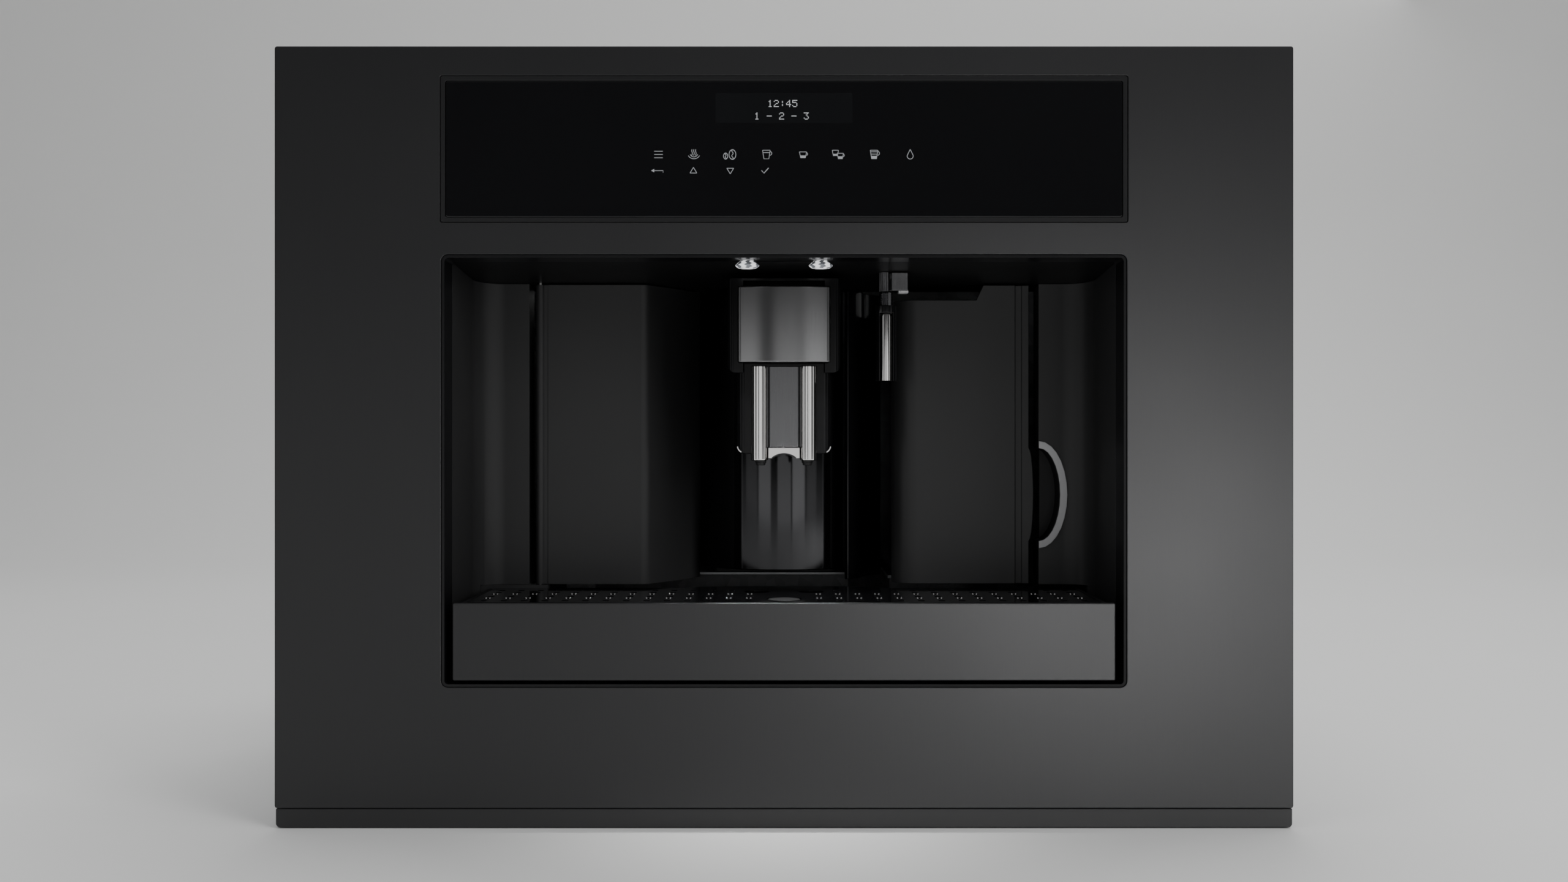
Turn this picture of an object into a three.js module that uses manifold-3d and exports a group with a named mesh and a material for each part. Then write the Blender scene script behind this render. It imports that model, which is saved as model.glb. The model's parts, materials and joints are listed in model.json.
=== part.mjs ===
// A built in coffee machine for a 60 cm wide, 45 cm high cabinet niche, as an assembly of separate pieces.
// Millimetres. X runs to the right, Y from the front to the back, Z up. Z = 0 is the niche floor.
// "Depth" is the distance behind the front face of the panel, so Y = depth - OVERALL_DEPTH / 2.

import * as THREE from "three";
import { mergeGeometries, mergeVertices } from "three/addons/utils/BufferGeometryUtils.js";
import Module from "manifold-3d";

const wasm = await Module();
wasm.setup();

// ---------- driving dimensions ----------

const OVERALL_DEPTH = 412;
const GAP = 0.3; // between pieces that rest on or beside each other

const PANEL = { width: 595, bottom: 11.5, top: 456.4, sheet: 3, flange: 20, flangeWall: 2, corner: 1.5 };
const TRIM = { height: 11.1, inset: 0.5, depth: 18, corner: 2.5 };
const DISPLAY = { width: 401.8, bottom: 353.5, top: 439.3, ring: 3, seat: 1.6, glass: 2.4, corner: 1.2 };
const OPENING = { halfWidth: 200.3, bottom: 81.9, top: 334.9, corner: 4, lip: 1.6 };
const CARRIER = { back: 22, topClearance: 4, displayRoom: 2 };
const LIP_SETBACK = 0.4;
const BOARD = { inset: 4.5, sheet: 1.6, moduleHalf: 44, moduleDepth: 9, low: 400, high: 431 };
// How far pieces stay inside the edge that carries them, sideways.
const INSET = {
  chassis: 33.5,
  cheek: 35.3,
  hinge: 7.2,
  column: 12.5,
  tank: 15.3,
  strip: 11,
  stripEnd: 6.3,
  trayFront: 6.6,
  trayBody: 10.3,
  grid: 14.3,
  slots: 21.8,
  shelf: 114,
  boiler: 22,
  boilerEnd: 86,
  pump: 49,
};
const CHASSIS = { halfWidth: PANEL.width / 2 - INSET.chassis, bottom: 14, top: 440, back: 403, sheet: 1.5 };
const REAR_COVER = { thickness: 3, margin: 1 };

const CHEEK = {
  inner: OPENING.halfWidth - INSET.cheek,
  depth: 98,
  wall: 3,
  cove: 18,
  bottom: 84.5,
  faceBottom: 133.1,
  edge: 20,
  skirt: 3,
};
const CEILING = { rear: 327.6, rearDepth: 102, back: 150, sheet: 2.5 };
const LAMP = { spacing: 43.6, depth: 14.2, radius: 7.3, low: 4.5, girdle: 1.5, table: 4.4, seat: 6.2 };
const FLOOR = { sheet: 3, beyond: 6, stopHalf: 60, stopTop: 120 };
const GRIP = {
  centreZ: 191.2,
  halfHeight: 34.7,
  width: 18.4,
  rim: 4.6,
  sheet: 1.2,
  seat: 0.55,
  pocket: 20,
  pocketWall: 2,
};

const DOOR = {
  hinge: [INSET.hinge - CHEEK.inner, 98],
  left: INSET.column - CHEEK.inner,
  faceRight: -93,
  edgeRadius: 8,
  slantEnd: [-69.3, 125],
  front: 96,
  bottom: 133.4,
  top: 326.8,
  wall: 3,
  linerDepth: 126,
  barrel: 3,
  webHalf: 1.4,
  pin: 1.5,
  pinClearance: 0.3,
};
const PIN = { depth: 14, lugBottom: 127, lugHeight: 6, lugHalf: 5.5 };
const RIB = { height: 4, sheet: 2, inset: 12, window: [300, 314] };
const BELLY = { x: -1, radius: 59, depth: 110, bottom: 141, wall: 3, startAngle: 198, right: 39.4 };
const CORE = { left: 42.8, right: 57, partition: 67, wall: 3 };

const SPOUT = {
  housing: 35,
  housingWall: 3,
  housingFront: 50,
  bottom: 268,
  coverHalf: 27.6,
  coverBottom: 274,
  coverTop: 325,
  coverFront: 40,
  coverSheet: 2,
  coverEdge: 3,
  bodyHalf: 29.3,
  bodyFront: 53.5,
  bodyBack: 84,
  bodyCorner: 5,
  bodyBottom: 218,
  bodyTop: 275.5,
  tubeX: 15.1,
  tubeRadius: 5.3,
  tubeDepth: 47.9,
  tubeBottom: 214,
  tubeTop: 272,
  mouth: 25,
  lipSheet: 2,
  bodyWall: 3,
  lipRise: 1.6,
  lipHalf: 2.6,
  archDrop: 9,
  archRadius: 11.5,
  nozzleBottom: 211,
  nozzleRadius: 2.9,
  plateHalf: 9.4,
  lowCorner: 5,
  plateBottom: 221.8,
  plateSheet: 1.2,
};

const HOT_WATER = {
  x: 63.5,
  depth: 60,
  tubeRadius: 3.8,
  tubeBottom: 263,
  tubeProud: 3.6,
  sleeveRadius: 6.5,
  sleeveBottom: 263,
  sleeveTop: 310,
  grooveTop: 305.3,
  collar: 4.5,
  connectorBottom: 318.5,
  stem: 3.4,
  stemX: 62.4,
  coreHalf: 7,
  coreLeft: 60,
  coreRight: 76.2,
  plateLeft: 66.6,
  plateRight: 76.7,
  plateSheet: 3,
  clip: { left: 71, right: 77, bottom: 317.6, setback: 1, length: 8 },
};

const TANK = {
  left: 70.5,
  right: CHEEK.inner - INSET.tank,
  front: 97,
  back: 305,
  bottom: 133.4,
  top: 326.8,
  notchTop: 317.2,
  notchRight: 124.5,
  notchSlant: 5,
  plate: 4,
  edgeRadius: 16,
  wall: 2.5,
  bodyTop: 309,
  lid: 3,
  capLeft: 92,
  capRight: 130,
  capFront: 180,
  capBack: 250,
};
const TANK_EDGE = {
  left: CHEEK.inner - INSET.strip,
  right: CHEEK.inner - INSET.stripEnd,
  bulge: 3,
  front: 98,
  back: 101,
  sheet: 2,
};

const TRAY = {
  halfWidth: OPENING.halfWidth - INSET.trayFront,
  frontBottom: 85.8,
  frontTop: 131.2,
  frontThickness: 4,
  setback: 0.5,
  bodyHalf: OPENING.halfWidth - INSET.trayBody,
  wall: 2.5,
  back: 152,
  backTop: 125.5,
  rimDepth: 90,
  ledge: 5,
  floor: 88.5,
};
const GRID = {
  halfWidth: OPENING.halfWidth - INSET.grid,
  thickness: 3,
  front: 5.5,
  back: 92.5,
  bulgeHalf: 64,
  bulgeBack: 106.5,
  firstColumn: 21.2,
  slotColumns: 14,
  slotRows: 6,
  firstRow: 14.5,
  rowPitch: 12.2,
  slotWidth: 4.2,
  slotLength: 6,
  drainX: 17,
  drainDepth: 69,
  drainRadius: 8.5,
  land: 2.5,
};
const FLOAT = { depth: 24, hole: 11, radius: 9.6, stem: 4, head: 2.5, bulb: 8, bulbHeight: 14 };

const RAIL = { height: 46, front: 26, back: 402, space: 15.6, web: 1.5, lip: 6 };

const BASE = { flange: 24 };
const VENT = {
  pitch: 12,
  width: 5,
  length: 40,
  sideCount: 8,
  sideFirst: 250,
  sideLow: 330,
  rearCount: 14,
  rearFirst: -180,
  rearLow: 340,
};
const INLET = {
  left: 190,
  right: 218,
  low: 57,
  high: 81,
  front: 392,
  wall: 2.5,
  flange: 5,
  pinPitch: 7,
  pinLength: 4,
};
const SWITCH = {
  left: 150,
  right: 168,
  low: 61,
  high: 79,
  play: 1.2,
  axisDepth: 405,
  proud: 4.5,
  valley: 1.6,
};

const HOPPER = {
  left: -140,
  right: 8,
  front: 228,
  back: 372,
  corner: 10,
  bottom: 352,
  wall: 2.5,
  outlet: 24,
};
const LID = { overlap: 4, sheet: 3, tab: 8, tabHalf: 16 };
const KNOB = { x: 65, depth: 250, radius: 19, height: 11, shaft: 4, shaftBottom: 425 };
const GRINDER = {
  x: -66,
  depth: 300,
  radius: 40,
  room: 33,
  bottom: 304,
  floor: 6,
  burr: 12,
  shaft: 4,
  shaftLow: 282,
  eye: 14,
  motor: 32,
  motorBottom: 215,
};
const BREW = {
  left: -46,
  right: 34,
  front: 172,
  back: 246,
  bottom: 212,
  top: 316,
  bore: 25,
  floor: 8,
  relief: 18,
  pistonDrop: 14,
  head: 10,
  rodRadius: 8,
  rodAbove: 9,
  motorX: 22,
  motorRadius: 17,
  motorLength: 46,
  gearcase: 20,
};
const GROUNDS = { left: -50, right: 38, front: 156, back: 238, bottom: 136, top: 207, wall: 2.5 };
const SHELF = {
  half: CHASSIS.halfWidth - INSET.shelf,
  front: 160,
  back: 300,
  sheet: 2,
  leg: 20,
  rearRight: 50,
  tankFront: 160,
};
const PUMP = {
  x: INSET.pump - CHASSIS.halfWidth,
  z: 70,
  radius: 24,
  front: 250,
  back: 340,
  nose: 26,
  neck: 9.6,
  foot: 12,
  footInset: 8,
};
const BOILER = {
  left: INSET.boiler - CHASSIS.halfWidth,
  right: INSET.boilerEnd - CHASSIS.halfWidth,
  front: 150,
  back: 215,
  bottom: 150,
  top: 290,
  corner: 8,
  footInset: 10,
};
const POWER = {
  front: 150,
  back: 300,
  low: 190,
  high: 330,
  stand: 10,
  sheet: 1.6,
  post: 8,
  coil: { out: 22, from: 20, to: 60, low: 20, high: 55 },
  caps: { out: 16, from: [80, 105], length: 16, low: 30, high: 60 },
};
const SOCKET = { rise: 14, radius: 11, length: 26 };

// ---------- shape helpers ----------

const FRONT_Y = -OVERALL_DEPTH / 2;
const ROUND = 24; // sides of a round piece
const ARC = 6; // steps of a quarter round
const WELD = 1e-4; // corners nearer than this are one

const toY = (depth) => FRONT_Y + depth;

// Points of an arc about (a, b) from one angle to another, in degrees.
function arc(a, b, radius, from, to, steps = ARC) {
  const points = [];
  for (let i = 0; i <= steps; i++) {
    const t = THREE.MathUtils.degToRad(from + ((to - from) * i) / steps);
    points.push([a + radius * Math.cos(t), b + radius * Math.sin(t)]);
  }
  return points;
}

function roundRect(a0, a1, b0, b1, radius) {
  return [
    ...arc(a1 - radius, b0 + radius, radius, -90, 0),
    ...arc(a1 - radius, b1 - radius, radius, 0, 90),
    ...arc(a0 + radius, b1 - radius, radius, 90, 180),
    ...arc(a0 + radius, b0 + radius, radius, 180, 270),
  ];
}

const rect = (a0, a1, b0, b1) => [[a0, b0], [a1, b0], [a1, b1], [a0, b1]];
const circle = (a, b, radius, sides = ROUND) => arc(a, b, radius, 0, 360, sides).slice(0, sides);

// The closed outline of a wall that follows an open path and lies to its left.
function wallAlong(path, thickness) {
  const normals = path.slice(1).map(([a, b], i) => {
    const run = Math.hypot(a - path[i][0], b - path[i][1]);
    return [-(b - path[i][1]) / run, (a - path[i][0]) / run];
  });
  const inner = path.map(([a, b], i) => {
    const before = normals[Math.max(i - 1, 0)];
    const after = normals[Math.min(i, normals.length - 1)];
    const middle = [before[0] + after[0], before[1] + after[1]];
    const scale = (2 * thickness) / (middle[0] ** 2 + middle[1] ** 2);
    return [a + middle[0] * scale, b + middle[1] * scale];
  });
  return [...path, ...inner.reverse()];
}

function prism(points, from, to) {
  const shape = new THREE.Shape(points.map(([a, b]) => new THREE.Vector2(a, b)));
  const settings = { depth: to - from, bevelEnabled: false, curveSegments: 1 };
  return new THREE.ExtrudeGeometry(shape, settings).translate(0, 0, from);
}

// The holes are cut as solids that reach past both faces, and none of them meets another.
function extrude(points, length, holes = []) {
  const plate = prism(points, 0, length);
  if (!holes.length) return plate;
  return cut(plate, mergeGeometries(holes.map((hole) => prism(hole, -1, length + 1))));
}

// An outline seen from above, in X and depth, raised from z0 to z1.
function upright(points, z0, z1, holes) {
  return extrude(points, z1 - z0, holes).translate(0, FRONT_Y, z0);
}

// An outline seen from the front, in X and Z, from depth d0 back to d1.
function facing(points, d0, d1, holes) {
  return extrude(points, d1 - d0, holes).rotateX(Math.PI / 2).translate(0, toY(d1), 0);
}

// An outline seen from the side, in depth and Z, from x0 to x1.
const SIDEWAYS = new THREE.Matrix4().set(0, 0, 1, 0, 1, 0, 0, 0, 0, 1, 0, 0, 0, 0, 0, 1);
function sideways(points, x0, x1, holes) {
  return extrude(points, x1 - x0, holes).applyMatrix4(SIDEWAYS).translate(x0, FRONT_Y, 0);
}

const block = (x0, x1, d0, d1, z0, z1) => upright(rect(x0, x1, d0, d1), z0, z1);

// A turned piece about a vertical axis; its profile is a list of [radius, z].
function turned(profile, x, depth, sides = ROUND) {
  return lathe(profile, sides).rotateX(Math.PI / 2).translate(x, toY(depth), 0);
}

// A turned piece about an axis that runs front to back; its profile is a list of [radius, depth].
function turnedBack(profile, x, z, sides = ROUND) {
  return lathe(profile, sides).translate(x, FRONT_Y, z);
}

function lathe(profile, sides) {
  const points = profile.map(([radius, along]) => new THREE.Vector2(radius, along));
  return new THREE.LatheGeometry(points, sides);
}

const rod = (radius, z0, z1) => [[0, z0], [radius, z0], [radius, z1], [0, z1]];
const pipe = (outer, inner, z0, z1) => [[inner, z0], [outer, z0], [outer, z1], [inner, z1], [inner, z0]];

// ---------- joins and cuts ----------

// The same faces with shared corners, and nothing but their positions. A join or cut has them already.
function welded(geometry) {
  const bare = geometry.clone();
  bare.deleteAttribute("normal");
  bare.deleteAttribute("uv");
  return geometry.hasAttribute("uv") ? mergeVertices(bare, WELD) : bare;
}

function solidOf(geometry) {
  const merged = welded(geometry);
  const kept = [];
  const index = merged.index.array;
  for (let i = 0; i < index.length; i += 3) {
    const [a, b, c] = [index[i], index[i + 1], index[i + 2]];
    if (a !== b && b !== c && a !== c) kept.push(a, b, c);
  }
  const mesh = new wasm.Mesh({
    numProp: 3,
    vertProperties: merged.attributes.position.array,
    triVerts: new Uint32Array(kept),
  });
  return new wasm.Manifold(mesh);
}

function geometryOf(solid) {
  const mesh = solid.getMesh();
  const geometry = new THREE.BufferGeometry();
  geometry.setAttribute("position", new THREE.BufferAttribute(new Float32Array(mesh.vertProperties), 3));
  geometry.setIndex(new THREE.BufferAttribute(new Uint32Array(mesh.triVerts), 1));
  geometry.computeVertexNormals();
  return geometry;
}

const join = (...parts) => geometryOf(parts.map(solidOf).reduce((all, next) => all.add(next)));
const cut = (part, ...tools) =>
  geometryOf(tools.map(solidOf).reduce((left, tool) => left.subtract(tool), solidOf(part)));

// The piece of the other side: each face is turned round, so that it still points out.
function mirrored(geometry) {
  const copy = welded(geometry).scale(-1, 1, 1);
  const index = copy.index.array;
  for (let i = 0; i < index.length; i += 3) [index[i + 1], index[i + 2]] = [index[i + 2], index[i + 1]];
  copy.computeVertexNormals();
  return copy;
}

// ---------- finishes ----------

const FINISHES = {
  panel: [0x2b2b2c, 0.5, 0.35],
  satin: [0x1b1b1c, 0.55, 0],
  gloss: [0x0b0b0c, 0.12, 0],
  steel: [0x77777a, 0.35, 1],
  chrome: [0xd8d8d8, 0.1, 1],
  silver: [0xa8a8a8, 0.4, 0.3],
  lamp: [0xffffff, 0.1, 0],
  display: [0x050506, 0.05, 0],
  zinc: [0x9a9c9e, 0.5, 0.8],
  tank: [0x30363a, 0.2, 0],
  board: [0x1f5a34, 0.6, 0],
};

const machine = new THREE.Group();

function add(name, finish, geometry, group = machine) {
  const [color, roughness, metalness] = FINISHES[finish];
  const mesh = new THREE.Mesh(geometry, new THREE.MeshStandardMaterial({ color, roughness, metalness }));
  mesh.name = name;
  group.add(mesh);
}

// ---------- front: panel, trim, display ----------

const openingOutline = (inset) =>
  roundRect(
    -OPENING.halfWidth + inset,
    OPENING.halfWidth - inset,
    OPENING.bottom + inset,
    OPENING.top - inset,
    Math.max(OPENING.corner - inset, 1),
  );
const displayOutline = (inset) =>
  roundRect(
    -DISPLAY.width / 2 + inset,
    DISPLAY.width / 2 - inset,
    DISPLAY.bottom + inset,
    DISPLAY.top - inset,
    DISPLAY.corner,
  );

function frontPanel() {
  const half = PANEL.width / 2;
  const outline = (inset) =>
    roundRect(-half + inset, half - inset, PANEL.bottom + inset, PANEL.top - inset, PANEL.corner);
  const sheet = facing(outline(0), 0, PANEL.sheet, [openingOutline(0), displayOutline(0)]);
  const flange = facing(outline(0), 0, PANEL.flange, [outline(PANEL.flangeWall)]);
  return join(sheet, flange);
}

function bottomTrim() {
  const half = PANEL.width / 2 - TRIM.inset;
  const outline = [
    ...arc(half - TRIM.corner, TRIM.corner, TRIM.corner, -90, 0),
    [half, TRIM.height],
    [-half, TRIM.height],
    ...arc(-half + TRIM.corner, TRIM.corner, TRIM.corner, 180, 270),
  ];
  return facing(outline, TRIM.inset, TRIM.depth);
}

// The frame behind the panel that the chassis carries it by.
function frontFrame() {
  const half = CHASSIS.halfWidth;
  const top = PANEL.top - PANEL.flangeWall - CARRIER.topClearance;
  return facing(rect(-half, half, CHASSIS.bottom, top), PANEL.sheet + GAP, CARRIER.back, [
    openingOutline(0),
    displayOutline(-CARRIER.displayRoom),
  ]);
}

const glassBack = GAP + DISPLAY.glass;
const bezelLedge = glassBack + GAP;
const bezelBack = bezelLedge + DISPLAY.seat;

function displayBezel() {
  const ring = facing(displayOutline(GAP), 0, bezelBack, [displayOutline(DISPLAY.ring)]);
  const ledge = facing(displayOutline(GAP), bezelLedge, bezelBack, [displayOutline(DISPLAY.ring * 2)]);
  return join(ring, ledge);
}

const displayGlass = () => facing(displayOutline(DISPLAY.ring + GAP), GAP, glassBack);

function displayBoard() {
  const back = bezelBack + GAP;
  const board = facing(displayOutline(BOARD.inset), back, back + BOARD.sheet);
  const half = BOARD.moduleHalf;
  const module = block(-half, half, back, back + BOARD.moduleDepth, BOARD.low, BOARD.high);
  return join(board, module);
}

// The glossy lip that lines the opening.
const lipInset = GAP + OPENING.lip;
const lipFrame = () => facing(openingOutline(GAP), LIP_SETBACK, CARRIER.back, [openingOutline(lipInset)]);

// ---------- recess: cheeks, ceiling, lamps, floor ----------

const recessFront = CARRIER.back + GAP;
const recessHalf = OPENING.halfWidth - lipInset;
const ceilingFront = OPENING.top - lipInset;

// All that lies above the ceiling's underside, lowered by a gap, to cut what reaches up to it.
function aboveCeiling(gap, halfWidth = CHASSIS.halfWidth) {
  const outline = [
    [0, ceilingFront - gap],
    [recessFront, ceilingFront - gap],
    [CEILING.rearDepth, CEILING.rear - gap],
    [CHASSIS.back, CEILING.rear - gap],
    [CHASSIS.back, CHASSIS.top],
    [0, CHASSIS.top],
  ];
  return sideways(outline, -halfWidth, halfWidth);
}

const hingeBore = (low, high) => turned(rod(DOOR.pin + GAP, low, high), ...DOOR.hinge, 12);

function ceilingPanel() {
  const path = [
    [recessFront, ceilingFront],
    [CEILING.rearDepth, CEILING.rear],
    [CEILING.back, CEILING.rear],
  ];
  const half = recessHalf + CHEEK.wall;
  const sheet = sideways(wallAlong(path, CEILING.sheet), -half, half);
  const height = [CEILING.rear - CEILING.sheet, OPENING.top + CEILING.sheet];
  return cut(join(sheet, highLug()), hingeBore(...height));
}

// A faceted lens under the lip's top, widest at its girdle.
function lampLens(side) {
  const top = ceilingFront - GAP;
  const profile = [
    [0, top - LAMP.low],
    [LAMP.table, top - LAMP.low],
    [LAMP.radius, top - LAMP.girdle],
    [LAMP.seat, top],
    [0, top],
  ];
  return turned(profile, (side * LAMP.spacing) / 2, LAMP.depth, 16);
}

// A quarter cove leads from each side wall to a face that looks forward, beside the columns.
function cheek() {
  const coveX = recessHalf - CHEEK.cove;
  const coveDepth = CHEEK.depth - CHEEK.cove;
  const path = [
    [CHEEK.inner, CHEEK.depth + CHEEK.edge],
    [CHEEK.inner, CHEEK.depth],
    ...arc(coveX, coveDepth, CHEEK.cove, 90, 0),
    [recessHalf, recessFront],
  ];
  const wall = upright(wallAlong(path, CHEEK.wall), CHEEK.bottom, ceilingFront);
  const trayRoom = block(
    CHEEK.inner - CHEEK.wall,
    recessHalf - CHEEK.skirt,
    coveDepth - CHEEK.wall,
    CHEEK.depth + CHEEK.edge + CHEEK.wall,
    0,
    CHEEK.faceBottom,
  );
  return cut(wall, trayRoom, aboveCeiling(GAP));
}

const halfEllipse = (width, halfHeight, steps = 14) =>
  arc(0, 0, 1, -90, 90, steps).map(([a, b]) => [CHEEK.inner + a * width, GRIP.centreZ + b * halfHeight]);

const pocketWidth = GRIP.width - GRIP.rim;
const pocketHalf = GRIP.halfHeight - GRIP.rim;

function cheekWithPocket() {
  const outline = [
    ...halfEllipse(pocketWidth, pocketHalf),
    [CHEEK.inner - 1, GRIP.centreZ + pocketHalf],
    [CHEEK.inner - 1, GRIP.centreZ - pocketHalf],
  ];
  return cut(cheek(), facing(outline, CHEEK.depth - 1, CHEEK.depth + CHEEK.edge + 1));
}

// The dark bowl behind the half moon, where fingers reach the tank's edge.
function fingerPocket() {
  const start = CHEEK.depth + CHEEK.wall + GAP;
  const outer = halfEllipse(pocketWidth + GRIP.pocketWall, pocketHalf + GRIP.pocketWall);
  const inner = halfEllipse(pocketWidth, pocketHalf);
  const clear = CHEEK.wall + GAP;
  const shifted = (points) => points.map(([a, b]) => [Math.max(a, CHEEK.inner + clear), b]);
  const end = CHEEK.depth + GRIP.pocket;
  return cut(facing(shifted(outer), start, end), facing(inner, start - 1, end - GRIP.pocketWall));
}

function gripCrescent() {
  const outline = [
    ...halfEllipse(GRIP.width, GRIP.halfHeight),
    ...halfEllipse(pocketWidth, pocketHalf).reverse(),
  ];
  return facing(outline, CHEEK.depth - GRIP.seat - GRIP.sheet, CHEEK.depth - GRIP.seat);
}

function recessFloor() {
  const top = TRAY.floor - GAP;
  const half = recessHalf - CHEEK.skirt - GAP;
  const plate = block(-half, half, recessFront, TRAY.back + FLOOR.beyond, top - FLOOR.sheet, top);
  const stopHalf = FLOOR.stopHalf;
  const stop = block(-stopHalf, stopHalf, TRAY.back + GAP, TRAY.back + FLOOR.beyond, top - 1, FLOOR.stopTop);
  return join(plate, stop);
}

// ---------- service door: column, convex front, hinge ----------

const [hingeX, hingeDepth] = DOOR.hinge;
const bellyDepth = BELLY.depth + BELLY.radius;
const bellyAngle = (x) => -THREE.MathUtils.radToDeg(Math.acos((x - BELLY.x) / BELLY.radius));
const bellyArc = (radius, from, to, steps) => arc(BELLY.x, bellyDepth, radius, from, to, steps);

function doorPath() {
  const [endX, endDepth] = bellyArc(BELLY.radius + GAP, BELLY.startAngle, BELLY.startAngle, 1)[0];
  return [
    [DOOR.left, DOOR.linerDepth + 1],
    [DOOR.left, DOOR.front],
    ...arc(DOOR.faceRight, DOOR.front + DOOR.edgeRadius, DOOR.edgeRadius, -90, -34),
    DOOR.slantEnd,
    [endX, endDepth],
  ];
}

function doorShell() {
  const path = doorPath();
  const bottomCap = upright(path, DOOR.bottom, DOOR.bottom + DOOR.wall);
  const topCap = upright(path, DOOR.top - DOOR.wall, DOOR.top);
  const barrel = turned(rod(DOOR.barrel, DOOR.bottom, DOOR.top), hingeX, hingeDepth, 16);
  const web = block(
    hingeX,
    DOOR.left + DOOR.wall,
    hingeDepth - DOOR.webHalf,
    hingeDepth + DOOR.webHalf,
    DOOR.bottom,
    DOOR.top,
  );
  const wall = upright(wallAlong(path, DOOR.wall), DOOR.bottom, DOOR.top);
  const shell = join(wall, bottomCap, topCap, web, barrel, doorLiner());
  const hole = DOOR.pin + DOOR.pinClearance;
  return cut(
    shell,
    turned(rod(hole, DOOR.bottom - 1, DOOR.bottom + PIN.depth + 1), hingeX, hingeDepth, 12),
    turned(rod(hole, DOOR.top - PIN.depth - 1, DOOR.top + 1), hingeX, hingeDepth, 12),
  );
}

function doorBelly() {
  const path = bellyArc(BELLY.radius, BELLY.startAngle, bellyAngle(BELLY.right) + 360, 18);
  const wall = upright(wallAlong(path, BELLY.wall), BELLY.bottom, DOOR.top);
  const bottomCap = upright(path, BELLY.bottom, BELLY.bottom + BELLY.wall);
  const topCap = upright(path, DOOR.top - BELLY.wall, DOOR.top);
  return join(wall, bottomCap, topCap);
}

// The plate that closes the back of the column, with ribs and a window to its hollow.
const linerSpan = [DOOR.linerDepth - 1, DOOR.linerDepth + DOOR.wall + RIB.height + 1];

function doorLiner() {
  const right = DOOR.slantEnd[0] - DOOR.wall / 2;
  const plate = block(DOOR.left, right, DOOR.linerDepth, DOOR.linerDepth + DOOR.wall, DOOR.bottom, DOOR.top);
  const middle = (DOOR.left + right) / 2;
  const window = block(middle - RIB.inset, middle + RIB.inset, ...linerSpan, ...RIB.window);
  const ribs = [0.25, 0.5, 0.75].map((share) => {
    const z = DOOR.bottom + (DOOR.top - DOOR.bottom) * share;
    const depth = DOOR.linerDepth + DOOR.wall;
    return block(DOOR.left + RIB.inset, right - RIB.inset, depth - 1, depth + RIB.height, z, z + RIB.sheet);
  });
  return cut(join(plate, ...ribs), window);
}

const lowPin = () => turned(rod(DOOR.pin, PIN.lugBottom, DOOR.bottom + PIN.depth), hingeX, hingeDepth, 12);
const highPin = () =>
  turned(rod(DOOR.pin, DOOR.top - PIN.depth, CEILING.rear + PIN.lugHeight), hingeX, hingeDepth, 12);

// The lugs that hold the pins: one at the left cheek's foot, one above the ceiling.
function hingeLug(low, high, reach) {
  const lug = block(
    hingeX - reach,
    hingeX + PIN.lugHalf,
    hingeDepth - PIN.lugHalf,
    hingeDepth + PIN.lugHalf,
    low,
    high,
  );
  return cut(lug, hingeBore(low - 1, high + 1));
}

const lowLug = () => hingeLug(PIN.lugBottom, DOOR.bottom - GAP, hingeX + recessHalf + 1);
const highLug = () => hingeLug(CEILING.rear + 1, CEILING.rear + CEILING.sheet + PIN.lugHeight, PIN.lugHalf);

// ---------- spout ----------

// Cuts the two lower corners of a piece round, as seen from the front.
function roundedBelow(piece, half, bottom, radius, d0, d1) {
  const corner = [
    [half + 1, bottom + radius],
    ...arc(half - radius, bottom + radius, radius, 0, -90),
    [half - radius, bottom - 1],
    [half + 1, bottom - 1],
  ];
  const wedge = facing(corner, d0, d1);
  return cut(piece, wedge, mirrored(wedge));
}

function spoutHousing() {
  const { housing, housingWall, housingFront, bottom, coverTop } = SPOUT;
  const top = DOOR.top - GAP;
  const bodyRoom = SPOUT.bodyHalf + GAP;
  const front = housingFront + SPOUT.lipSheet;
  const back = SPOUT.bodyBack + GAP;
  const outer = upright(roundRect(-housing, housing, housingFront, bellyDepth, 4), bottom, top);
  const above = coverTop - GAP;
  const rounded = roundedBelow(outer, housing, bottom, SPOUT.lowCorner, housingFront - 1, bellyDepth + 1);
  return cut(
    rounded,
    block(-bodyRoom, bodyRoom, front, back, bottom - 1, above),
    block(-SPOUT.mouth, SPOUT.mouth, housingFront - 1, front + 1, bottom - 1, above),
    block(-bodyRoom, bodyRoom, back + housingWall, bellyDepth + 1, bottom - 1, above),
    upright(circle(BELLY.x, bellyDepth, BELLY.radius + GAP, 96), bottom - 1, top + 1),
  );
}

function spoutCover() {
  const { coverHalf, coverFront, coverEdge, coverSheet, coverBottom, coverTop } = SPOUT;
  const path = [
    [-coverHalf, SPOUT.housingFront - GAP],
    ...arc(-coverHalf + coverEdge, coverFront + coverEdge, coverEdge, 180, 270),
    ...arc(coverHalf - coverEdge, coverFront + coverEdge, coverEdge, 270, 360),
    [coverHalf, SPOUT.housingFront - GAP],
  ];
  const sheet = upright(wallAlong(path, coverSheet), coverBottom, coverTop);
  return join(sheet, upright(path, coverTop - coverSheet, coverTop));
}

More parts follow.
